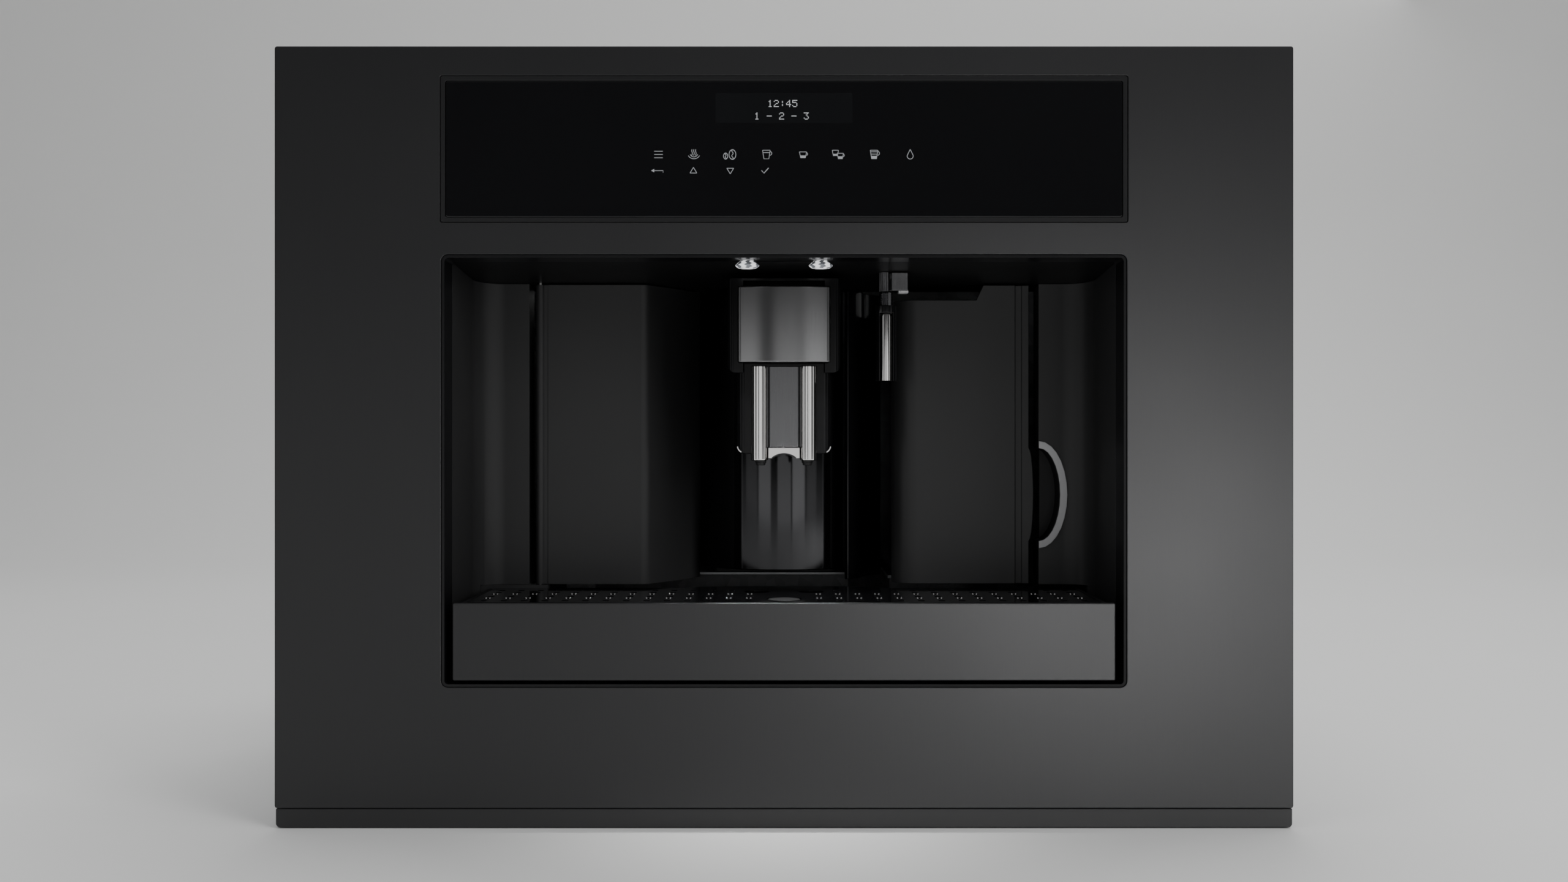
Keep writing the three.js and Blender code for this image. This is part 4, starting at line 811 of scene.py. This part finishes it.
def triangle_sign(bm, x, z, way):
    """A triangle that points up, or down where way is -1."""
    corners = [(-2.0, -1.4 * way), (0, 1.9 * way), (2.0, -1.4 * way), (-2.0, -1.4 * way)]
    for start, end in zip(corners, corners[1:]):
        line_sign(bm, [start, end], x, z)


# The keys by sign, x in mm, and what else the sign takes.
UPPER_KEYS = (
    (menu_sign, -73.3), (steam_sign, -52.6), (bean_sign, -31.4), (cup, -10.3, 4.4, 5.0, (0.72,)),
    (short_cup_sign, 11.1), (two_cups_sign, 31.5), (cup, 52.6, 4.4, 5.0, (0.55, 0.82), 0.34),
    (drop_sign, 73.7),
)
LOWER_KEYS = (
    (back_sign, -74.0), (triangle_sign, -52.9, 1), (triangle_sign, -31.4, -1), (tick_sign, -11.1),
)


def make_keys(name, keys, z):
    bm = bmesh.new()
    for draw, x, *rest in keys:
        draw(bm, x, z, *rest)
    new_object(name, bm, "dim_sign", "machine")


def make_display():
    plate_piece("display_screen", "screen", "machine", "display_glass", SCREEN)
    words = bmesh.new()
    dot_text(words, "12:45", *CLOCK_PLACE)
    dot_text(words, "1 - 2 - 3", *RANGE_PLACE)
    new_object("display_digits", words, "lit_sign", "machine")
    make_keys("display_keys_upper", UPPER_KEYS, UPPER_KEYS_Z)
    make_keys("display_keys_lower", LOWER_KEYS, LOWER_KEYS_Z)


# ---------- lamps ----------


LENS_SIDES = 12
# Radius and rise over the foot, in mm, from the bright table up to the hidden back.
LENS_LEVELS = ((3.6, 0.0), (5.2, 0.15), (6.4, 0.8), (7.25, 1.8), (6.2, 2.7), (5.1, 3.6), (4.2, 4.45))


def cut_lens(node):
    """A cut lens: alternate facets are bright and dim, round a bright table."""
    cx, depth, _, foot, _ = axis_of(node)
    bm = bmesh.new()
    rings = []
    for step, (radius, rise) in enumerate(LENS_LEVELS):
        turn = 180 / LENS_SIDES if step % 2 else 0
        outline = arc(cx, depth, radius, turn, turn + 360 - 360 / LENS_SIDES, LENS_SIDES - 1)
        rings.append([bm.verts.new(from_above(u, v, foot + rise)) for u, v in outline])
    for step, (first, second) in enumerate(zip(rings, rings[1:])):
        for i in range(LENS_SIDES):
            j = (i + 1) % LENS_SIDES
            tips = (second[i], first[j]) if step % 2 == 0 else (second[j], first[i])
            upward = bm.faces.new((first[i], first[j], tips[0]))
            downward = bm.faces.new((tips[1], second[j], second[i]))
            upward.material_index = (i + step) % 2
            downward.material_index = (i + step + 1) % 2
    bm.faces.new(rings[0])
    bm.faces.new(reversed(rings[-1]))
    materials = ("lamp_bright", "lamp_dim")
    piece = new_object(node + "_cut", bm, materials, "machine", 1)
    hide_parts(node)


def make_lenses():
    for side, _ in SIDES:
        cut_lens("lamp_lens_" + side)


# ---------- spout ----------


# All in mm; depths count from the front face.
HEAD_HALF = 28.7
HEAD_FRONT = 40.0
HEAD_BACK = 49.7
HEAD_FOOT = 274.0
HEAD_TOP = 320.8
HEAD_SHEET = 1.3
HEAD_CROWN = 3.0
HEAD_CORNER = 3.0
HEAD_TURN = ((0.9, 0.0), (0.25, 0.25), (0.0, 0.9))  # inset and rise of its turned edges

TUBE_FOOT = 214.0
OUTLET_SHIFT = 0.8  # of a tube's outlet, away from the middle

PLATE_HALF = 9.4
PLATE_FOOT = 221.9
PLATE_TOP = 272.0
PLATE_FACE = 52.0
PLATE_BACK = 53.2
FOLD_FACE = 51.8
FOLD_BACK = 52.4

LIP_HALF = 9.5
LIP_FOOT = 215.5
LIP_TOP = 221.6
LIP_FACE = 45.3
ARCH_CENTRE = LIP_FOOT - 9.0
ARCH_RADIUS = 11.5
ARCH_FACE = 44.9

BODY_CORNER = (24.2, 223.1)  # the centre of the round lower corner of the spout's body
# Depths in mm of the chrome arcs that paint the highlights on those corners.
CORNER_HIGHLIGHT_FACE = 53.25
CORNER_HIGHLIGHT_BACK = 53.6


def head_outline(half, front, crown, corner, inset=0.0):
    """The plan of the spout's head: a slightly crowned front with rounded corners."""
    half -= inset
    front += inset
    radius = corner - inset * 0.6
    side = arc(half - radius, front + crown + radius, radius, 0, -80, 6)
    end_x, end_depth = side[-1]
    middle = []
    for i in range(1, 12):
        t = 1 - i / 6
        middle.append((t * end_x, front + (end_depth - front) * t * t))
    other = [(-x, depth) for x, depth in reversed(side)]
    return [(half, HEAD_BACK), *side, *middle, *other, (-half, HEAD_BACK)]


def head_shell(inset):
    """The head's plan as a sheet, so that the tubes run up behind it."""
    outer = head_outline(HEAD_HALF, HEAD_FRONT, HEAD_CROWN, HEAD_CORNER, inset)
    half, front = HEAD_HALF - HEAD_SHEET, HEAD_FRONT + HEAD_SHEET
    inner = head_outline(half, front, HEAD_CROWN - 0.1, HEAD_CORNER - 1.2)
    return outer + inner[::-1]


def make_head():
    """The sheet over the spout's housing, with its edges turned over a small radius."""
    sections = [(head_shell(inset), HEAD_FOOT + rise) for inset, rise in HEAD_TURN]
    sections += [(head_shell(inset), HEAD_TOP - rise) for inset, rise in reversed(HEAD_TURN)]
    bm = bmesh.new()
    lofted(bm, sections, from_above)
    piece = new_object("spout_head", bm, "head_steel", "door", 50)
    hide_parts("spout_cover")


def make_tube(name, side):
    """A bright tube with a rolled lower rim, and the dark outlet in it."""
    node = "spout_tube_" + name
    x, depth, radius, _, top = axis_of(node)
    rim = [(1.1, 0.9), (1.0, 0.1), (0.5, 0.0), (0.1, 0.25), (0.0, 0.7)]
    profile = [(radius - inset, TUBE_FOOT + rise) for inset, rise in rim]
    profile += [(radius, top - 0.4), (radius - 0.4, top)]
    bm = bmesh.new()
    turned(bm, profile, x, depth, 56)
    tube = new_object(node + "_bright", bm, "chrome", "spout")
    bore = [(1.5, -1.4), (1.6, -2.9), (2.4, -3.0), (2.8, -2.7), (3.0, -1.6), (3.4, -1.3), (3.5, 0.9)]
    outlet = bmesh.new()
    profile = [(inner, TUBE_FOOT + rise) for inner, rise in bore]
    turned(outlet, profile, x - side * OUTLET_SHIFT, depth, 32)
    new_object(node + "_outlet", outlet, "satin_black", "spout")
    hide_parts(node)


def make_plate():
    """The plate between the tubes, with a fold at either edge."""
    sides = (-PLATE_HALF, PLATE_FOOT, PLATE_HALF, PLATE_TOP)
    sheet = (sides, 0.5, (PLATE_FACE, PLATE_BACK), 0.35)
    plate = plate_piece("spout_plate_sheet", "plate_steel", "spout", "brushed_steel", sheet)
    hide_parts("spout_plate")
    for name, side in SIDES:
        left, right = sorted((side * (PLATE_HALF - 0.8), side * (PLATE_HALF - 0.3)))
        sides = (left, PLATE_FOOT + 0.3, right, PLATE_TOP - 0.2)
        fold = (sides, 0.2, (FOLD_FACE, FOLD_BACK), 0.15)
        plate_piece("spout_plate_fold_" + name, "dark_steel", "spout", "brushed_steel", fold)


def arch(radius, start, end):
    return arc(0, ARCH_CENTRE, radius, start, end, 16)


def make_lip():
    """The bright lip below the plate, and the dark arch under it."""
    lip = bmesh.new()
    corners = [(LIP_HALF, LIP_FOOT), (LIP_HALF, LIP_TOP), (-LIP_HALF, LIP_TOP), (-LIP_HALF, LIP_FOOT)]
    prism(lip, corners + arch(ARCH_RADIUS, 130, 50), LIP_FACE, PLATE_BACK)
    bevel_edges(lip, 0.35, 50)
    new_object("spout_lip", lip, "chrome", "spout")
    under = bmesh.new()
    outline = arch(ARCH_RADIUS - 0.3, 130, 50) + arch(ARCH_RADIUS + 0.5, 50, 130)
    prism(under, outline, ARCH_FACE, PLATE_BACK - 0.2)
    new_object("spout_arch", under, "satin_black", "spout")


def make_corner_highlights():
    """Chrome arcs on the two lower corners of the spout's body, put there as painted highlights."""
    outer = arc(*BODY_CORNER, 4.95, -62, -8, 10)
    inner = arc(*BODY_CORNER, 4.35, -62, -8, 10)
    bm = bmesh.new()
    for _, side in SIDES:
        outline = [(side * x, z) for x, z in outer + inner[::-1]]
        prism(bm, outline, CORNER_HIGHLIGHT_FACE, CORNER_HIGHLIGHT_BACK)
    new_object("spout_corner_edges", bm, "chrome", "spout")


def make_spout():
    make_head()
    for name, side in SIDES:
        make_tube(name, side)
    make_plate()
    make_lip()
    make_corner_highlights()


# ---------- hot water outlet ----------


COLLAR_AXIS = (63.5, 60.0)  # x and depth in mm
COLLAR_FOOT = 310.2
COLLAR_TOP = 318.0
COLLAR_RADIUS = 4.7
COLLAR_RINGS = 5
COLLAR_PITCH = 1.5

STEM_AXIS = (62.4, 57.0)
STEM_RADIUS = 3.3
STEM_FLUTES = 12
STEM_FLUTE = 0.3
STEM_FOOT = 318.6
STEM_TOP = 330.4

# Plates of the connector: sides, corner radius, depths and front edge in mm.
CORE_PLATE = ((60.0, 318.7, 76.2, 330.3), 1.0, (56.0, 67.0), 0.6)
BRIGHT_PLATE = ((66.6, 318.9, 76.7, 330.2), 0.5, (53.0, 56.6), 0.4)
CLIP_PLATES = (
    ((71.0, 317.6, 77.0, 319.2), 0.4, (54.0, 62.0), 0.4),
    ((72.2, 317.8, 76.2, 318.9), 0.3, (53.6, 54.4), 0.2),
)
TONGUE_PLATE = ((64.4, 309.4, 66.4, 318.1), 0.4, (54.6, 56.0), 0.3)
RIB_XS = (61.4, 62.5, 63.6)
RIB_PLATES = [((x - 0.35, 309.2, x + 0.35, 318.0), 0.2, (54.9, 56.2), 0.25) for x in RIB_XS]
BRIDGE_PLATES = (
    ((60.6, 308.9, 66.6, 310.4), 0.4, (55.8, 60.0), 0.3),
    ((60.6, 313.2, 66.6, 314.6), 0.4, (55.8, 60.0), 0.3),
)


def make_nozzle():
    """The bright tube with a rolled rim and a groove near its top, and the sleeve's rings."""
    x, depth, radius, foot, top = axis_of("hot_water_tube")
    rim = [(1.2, 0.8), (1.1, 0.0), (0.3, 0.0), (0.0, 0.3)]
    groove = [(0.0, 1.6), (0.35, 1.4), (0.35, 0.9), (0.1, 0.7), (0.3, 0.2), (0.7, 0.0)]
    profile = [(radius - inset, foot + rise) for inset, rise in rim]
    profile += [(radius - inset, top - fall) for inset, fall in groove]
    bm = bmesh.new()
    turned(bm, profile, x, depth, 56)
    tube = new_object("hot_water_bright", bm, "chrome", "hot_water")
    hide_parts("hot_water_tube")
    profile = [(COLLAR_RADIUS - 0.7, COLLAR_FOOT)]
    for i in range(COLLAR_RINGS):
        z = COLLAR_FOOT + 0.4 + i * COLLAR_PITCH
        profile += [(COLLAR_RADIUS - 0.15, z), (COLLAR_RADIUS, z + 0.25)]
        profile += [(COLLAR_RADIUS, z + 0.75), (COLLAR_RADIUS - 0.15, z + 1.0)]
    profile.append((COLLAR_RADIUS - 0.7, COLLAR_TOP))
    collar = bmesh.new()
    turned(collar, profile, *COLLAR_AXIS, 40)
    new_object("hot_water_collar_rings", collar, "dark_steel", "hot_water")


def make_stem():
    """The fluted stem beside the plate."""
    x, depth = STEM_AXIS
    outline = []
    for i in range(3 * STEM_FLUTES):
        angle = 2 * math.pi * i / (3 * STEM_FLUTES)
        radius = STEM_RADIUS if i % 3 else STEM_RADIUS - STEM_FLUTE
        outline.append((x + radius * math.cos(angle), depth + radius * math.sin(angle)))
    bm = bmesh.new()
    prism(bm, outline, STEM_FOOT, STEM_TOP, from_above)
    new_object("outlet_stem", bm, "plate_steel", "machine", 25)


def make_connector():
    """The core, the bright plate, its clip and the stem, and what moves with the sleeve."""
    core = plate_piece("outlet_core", "gloss_black", "machine", "brushed_steel", CORE_PLATE)
    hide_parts("hot_water_connector")
    plate_piece("outlet_plate", "plate_steel", "machine", "brushed_steel", BRIGHT_PLATE)
    plate_piece("outlet_clip", "silver_plastic", "machine", "brushed_steel", *CLIP_PLATES)
    make_stem()
    plate_piece("outlet_tongue", "plate_steel", "hot_water", "brushed_steel", TONGUE_PLATE)
    plate_piece("outlet_ribs", "dark_steel", "hot_water", "gloss_black", *RIB_PLATES)
    plate_piece("outlet_bridge", "gloss_black", "hot_water", "gloss_black", *BRIDGE_PLATES)


# ---------- drip tray ----------


# The holes of the grid, as in its CAD node, in mm. Depths count from the front face.
SLOT_ROWS = 6
SLOT_COLUMNS = 14  # to each side
SLOT_FIRST_DEPTH = 14.5
SLOT_ROW_PITCH = 12.2
SLOT_FIRST_X = 21.2
SLOT_LAST_X = 178.5
SLOT_HALF = (2.1, 3.0)
FLOAT_HOLE = (0, 24, 11)  # x, depth, radius
DRAIN_HOLE = (17, 69, 8.5)
SLOT_CLEAR = 5.5
# The rows whose slots get painted glints; the other rows get none.
GLINT_ROWS = (1, 3)

LINER_FOOT = 128.6
LINER_TOP = 131.15
LINER_WALL = 0.35
GLINT_SHIFT = (1.2, 2.6)
GRID_TOP = 131.2
# Steps of a hole's rolled rim: how much wider than the hole's edge, and its z.
RIM_SECTION = ((0, 128.8), (0, 131.1), (-0.35, GRID_TOP), (-0.9, 131.0), (-1.0, 128.8))


def row_depth(row):
    return SLOT_FIRST_DEPTH + SLOT_ROW_PITCH * row


def slots_of(row):
    """The x of the slots in a row of the grid, which leaves the round holes free."""
    depth = row_depth(row)
    found = []
    for column in range(SLOT_COLUMNS):
        x = SLOT_FIRST_X + column * (SLOT_LAST_X - SLOT_FIRST_X) / (SLOT_COLUMNS - 1)
        gaps = [math.hypot(x - u, depth - v) - radius for u, v, radius in (FLOAT_HOLE, DRAIN_HOLE)]
        if min(gaps) >= SLOT_CLEAR:
            found += [x, -x]
    return found


def slot_liners():
    """Dark liners in the slots, with a rim that stands a little under the grid's face."""
    bm = bmesh.new()
    half, length = SLOT_HALF
    for row in range(SLOT_ROWS):
        depth = row_depth(row)
        for x in slots_of(row):
            outer = plain_rect(x - half, depth - length, x + half, depth + length)
            u, v = half - LINER_WALL, length - LINER_WALL
            inner = plain_rect(x - u, depth - v, x + u, depth + v)
            levels = [(outer, LINER_FOOT), (outer, LINER_TOP)]
            levels += [(inner, LINER_TOP - 0.15), (inner, LINER_FOOT)]
            lofted(bm, levels, from_above, hollow=True)
    return bm


def slot_glints():
    """Two bright chrome beads on the far edge of each slot in two of the rows, which paint the grid's
    glints there.
    """
    bm = bmesh.new()
    shift, back = GLINT_SHIFT
    profile = [(0.7, 130.4), (0.75, 131.1), (0.6, 131.5), (0.3, 131.7)]
    for row in GLINT_ROWS:
        for x in slots_of(row):
            for way in (-1, 1):
                turned(bm, profile, x + way * shift, row_depth(row) + back, 12)
    return bm


def hole_rim(name, x, depth, radius):
    """A rolled bright rim in a round hole of the grid."""
    bm = bmesh.new()
    sections = [(circle(x, depth, radius + grow, 40), z) for grow, z in RIM_SECTION]
    lofted(bm, sections, from_above, hollow=True)
    new_object(name, bm, "dark_chrome", "grid", 60)


def make_grid():
    new_object("grid_slot_edges", slot_liners(), "gloss_black", "grid", 30)
    # Chrome beads that paint glints on two rows of slots.
    new_object("grid_slot_corners", slot_glints(), "chrome", "grid", 60)
    x, depth, radius = DRAIN_HOLE
    for side, way in SIDES:
        hole_rim("drain_rim_" + side, way * x, depth, radius - 0.1)
    x, depth, radius = FLOAT_HOLE
    hole_rim("float_rim", x, depth, radius - 0.1)


# ---------- small parts outside and inside ----------


# Outer faces of the sheets, in mm from the origin.
REAR_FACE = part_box("rear_cover")[1].y / MM
TOP_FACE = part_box("top_cover")[1].z / MM
SIDE_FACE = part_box("top_cover")[1].x / MM
RAIL_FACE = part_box("cabinet_rail_right")[1].x / MM

# The sides of the machine, with the axis that each looks along and its sign.
FLANKS = (("right", "+x", 1), ("left", "-x", -1))
REST = 0.02  # how far over a face the foot of a small part lies

SCREW_STEPS = 32
SCREW_ARM = 0.35
SCREW_CROSS = 1.5
SCREW_SINK = 0.9
SCREW_LEVELS = ((3.9, REST), (3.9, 0.35), (3.4, 0.4), (3.4, 0.9), (3.1, 1.35), (2.5, 1.65), (1.9, 1.72))
# Where the screws sit on each face, in mm.
REAR_SCREWS = [(x, z) for z in (22, 432, 227) for x in (256, -256)] + [(60, 432), (0, 22)]
TOP_SCREWS = [(x, y) for y in (-170, 8, 190) for x in (258, -258)] + [(60, 190), (60, -177)]
SIDE_SCREWS = [(y, z) for y in (-175, 188) for z in (428, 250, 70)] + [(6, 428)]
RAIL_SCREWS = [(y, 23) for y in (-150, -20, 90, 180)]

BEAD_HALF_WIDTH = 6
BEAD_HEIGHT = 1.3
REAR_BEADS = (130, 190, 250, 310)
REAR_BEAD_X = -20
REAR_BEAD_HALF = 150
SIDE_BEADS = ((6, 110), (6, 170), (6, 230), (-20, 290))
SIDE_BEAD_HALF = 110

SCALE_RADIUS = 26
SCALE_DOTS = 9
SCALE_START = 200  # degrees
SCALE_STEP = 25

LID_FACE = 440.28  # the underside of the hopper's lid, in mm
SEAL_FOOT = 437.6
SEAL_SIDES = (-136, 26.5, 4, 161.5)
SEAL_WIDTH = 2.4
LID_RIB_FOOT = 438.2

BREWING_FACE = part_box("brewing_unit")[0].y / MM
GROUNDS_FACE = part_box("grounds_container")[0].y / MM
TANK_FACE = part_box("water_tank")[1].x / MM
LOCK_PLACE = (-4, 268)


def looking(axis, x=0, y=0, z=0):
    """Maps (u, v, w) to a point, with w going outward along the named axis from (x, y, z) in mm."""
    ways = {
        "+x": lambda u, v, w: (x + w, y + u, z + v),
        "-x": lambda u, v, w: (x - w, y - u, z + v),
        "+y": lambda u, v, w: (x - u, y + w, z + v),
        "-y": lambda u, v, w: (x + u, y - w, z + v),
        "+z": lambda u, v, w: (x + u, y + v, z + w),
    }
    return lambda u, v, w: Vector(ways[axis](u, v, w)) * MM


def cross_outline():
    """The four-armed recess of a screw, with as many points as its head."""
    points = []
    for i in range(SCREW_STEPS):
        angle = 2 * math.pi * i / SCREW_STEPS
        thin, wide = sorted((abs(math.cos(angle)), abs(math.sin(angle))))
        reach = min(SCREW_CROSS / wide, SCREW_ARM / max(thin, 0.01))
        points.append((reach * math.cos(angle), reach * math.sin(angle)))
    return points


def make_screws(name, body, places):
    """Pan heads, each on a washer face, with a sunk cross."""
    bm = bmesh.new()
    sections = [(circle(0, 0, radius, SCREW_STEPS), w) for radius, w in SCREW_LEVELS]
    top = SCREW_LEVELS[-1][1]
    sections += [(cross_outline(), top), (cross_outline(), SCREW_SINK)]
    for place in places:
        lofted(bm, sections, place)
    new_object(name, bm, "screw_zinc", body, 30)


def make_all_screws():
    make_screws("rear_screws", "machine", [looking("+y", x, REAR_FACE, z) for x, z in REAR_SCREWS])
    make_screws("top_screws", "machine", [looking("+z", x, y, TOP_FACE) for x, y in TOP_SCREWS])
    for name, axis, way in FLANKS:
        places = [looking(axis, way * SIDE_FACE, y, z) for y, z in SIDE_SCREWS]
        make_screws(name + "_screws", "machine", places)
    for name, axis, way in FLANKS:
        places = [looking(axis, way * RAIL_FACE, y, z) for y, z in RAIL_SCREWS]
        make_screws("rail_screws_" + name, "cabinet", places)


def add_bead(bm, place, half_length):
    """A pressed bead: a long raised oval with soft shoulders."""
    sections = []
    for inset, rise in quarter_round(BEAD_HEIGHT, 4):
        u, v = half_length - 1.6 * inset, BEAD_HALF_WIDTH - 1.6 * inset
        sections.append((round_rect(-u, -v, u, v, v, 10), REST + rise))
    lofted(bm, sections, place)


def make_beads():
    rear = bmesh.new()
    for z in REAR_BEADS:
        add_bead(rear, looking("+y", REAR_BEAD_X, REAR_FACE, z), REAR_BEAD_HALF)
    new_object("rear_beads", rear, "zinc_sheet", "machine")
    for name, axis, way in FLANKS:
        bm = bmesh.new()
        for y, z in SIDE_BEADS:
            add_bead(bm, looking(axis, way * SIDE_FACE, y, z), SIDE_BEAD_HALF)
        new_object(name + "_beads", bm, "zinc_sheet", "machine")


def add_button(bm, place, radius, foot, top, edge, steps):
    """A low disc with a chamfered rim."""
    wide, narrow = circle(0, 0, radius, steps), circle(0, 0, radius - edge, steps)
    lofted(bm, [(wide, foot), (wide, top - edge), (narrow, top)], place)


def make_grind_scale():
    """Raised dots of growing size round the grinding knob."""
    low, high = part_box("grind_knob")
    x, y = (low.x + high.x) / 2 / MM, (low.y + high.y) / 2 / MM
    bm = bmesh.new()
    for i in range(SCALE_DOTS):
        angle = math.radians(SCALE_START - SCALE_STEP * i)
        u, v = x + SCALE_RADIUS * math.cos(angle), y + SCALE_RADIUS * math.sin(angle)
        radius = 0.9 + 0.22 * i
        wide, narrow = circle(0, 0, radius, 20), circle(0, 0, radius - 0.25, 20)
        lofted(bm, [(wide, REST), (wide, 0.3), (narrow, 0.5)], looking("+z", u, v, TOP_FACE))
    new_object("grind_scale", bm, "gloss_black", "machine")


def make_lid_seal():
    """The soft lip under the lid of the bean hopper, with three stiffening ribs."""
    place = looking("+z")
    bm = bmesh.new()
    outer = round_rect(*SEAL_SIDES, 8, 8)
    inner = round_rect(*SEAL_SIDES, 6 + SEAL_WIDTH, 8, SEAL_WIDTH)
    levels = [(outer, LID_FACE), (outer, SEAL_FOOT), (inner, SEAL_FOOT - 0.7), (inner, LID_FACE)]
    lofted(bm, levels, place, hollow=True)
    new_object("lid_seal", bm, "rubber", "hopper_lid")
    ribs = bmesh.new()
    for x in (-90, -66, -42):
        prism(ribs, plain_rect(x, 34, x + 1.6, 154), LID_RIB_FOOT, LID_FACE, place)
    bevel_edges(ribs, 0.3, 50, 2)
    new_object("lid_ribs", ribs, "satin_black", "hopper_lid")


def raised_plate(bm, place, sides, corner, height, edge):
    """Adds a plate with rounded corners and a rounded rim, standing on a face."""
    sections = [(round_rect(*sides, corner), REST)]
    for inset, rise in quarter_round(edge, 3):
        sections.append((round_rect(*sides, corner, inset=inset), height - edge + rise))
    lofted(bm, sections, place)


def make_brewing_front():
    """Ribs and a locking disc on the brewing unit, behind the service door."""
    front = looking("-y", 0, BREWING_FACE)
    ribs = bmesh.new()
    for x in (-38, -29, 19, 28):
        raised_plate(ribs, front, (x, 222, x + 3, 306), 1.2, 1.6, 0.5)
    raised_plate(ribs, front, (-18, 228, 10, 236), 2.5, 1.4, 0.5)
    new_object("brewing_ribs", ribs, "satin_black", "machine")
    disc = bmesh.new()
    x, z = LOCK_PLACE
    centre = looking("-y", x, BREWING_FACE, z)
    add_button(disc, centre, 17, REST, 1.2, 0.4, 40)
    add_button(disc, centre, 12.5, 1.2, 2.4, 0.4, 40)
    raised_plate(disc, centre, (-10, -2.2, 10, 2.2), 2.0, 3.6, 0.6)
    new_object("brewing_lock", disc, "silver_plastic", "machine")


def make_grounds_grip():
    """A grip and a plain plate on the front of the grounds container."""
    face = looking("-y", 0, GROUNDS_FACE)
    bm = bmesh.new()
    raised_plate(bm, face, (-34, 190, 22, 197), 3.0, 2.6, 1.0)
    raised_plate(bm, face, (-26, 150, 14, 176), 5.0, 0.7, 0.4)
    new_object("grounds_grip", bm, "satin_black", "machine")


def make_level_lines():
    """Moulded level lines on the right side of the water tank, every other one longer."""
    place = looking("+x", TANK_FACE)
    bm = bmesh.new()
    for i, z in enumerate(range(165, 300, 15)):
        length = 16 if i % 2 else 26
        raised_plate(bm, place, (-40, z, -40 + length, z + 1.1), 0.5, 0.35, 0.15)
    new_object("tank_level_lines", bm, "smoked_clear", "tank")


# ---------- the scene ----------


make_materials()
make_camera()
make_lights()
make_cup_lights()
make_world()
make_floor()
paint_nodes()
round_nodes()
make_glow()
make_display()
make_lenses()
make_spout()
make_nozzle()
make_connector()
make_grid()
make_all_screws()
make_beads()
make_grind_scale()
make_lid_seal()
make_brewing_front()
make_grounds_grip()
make_level_lines()
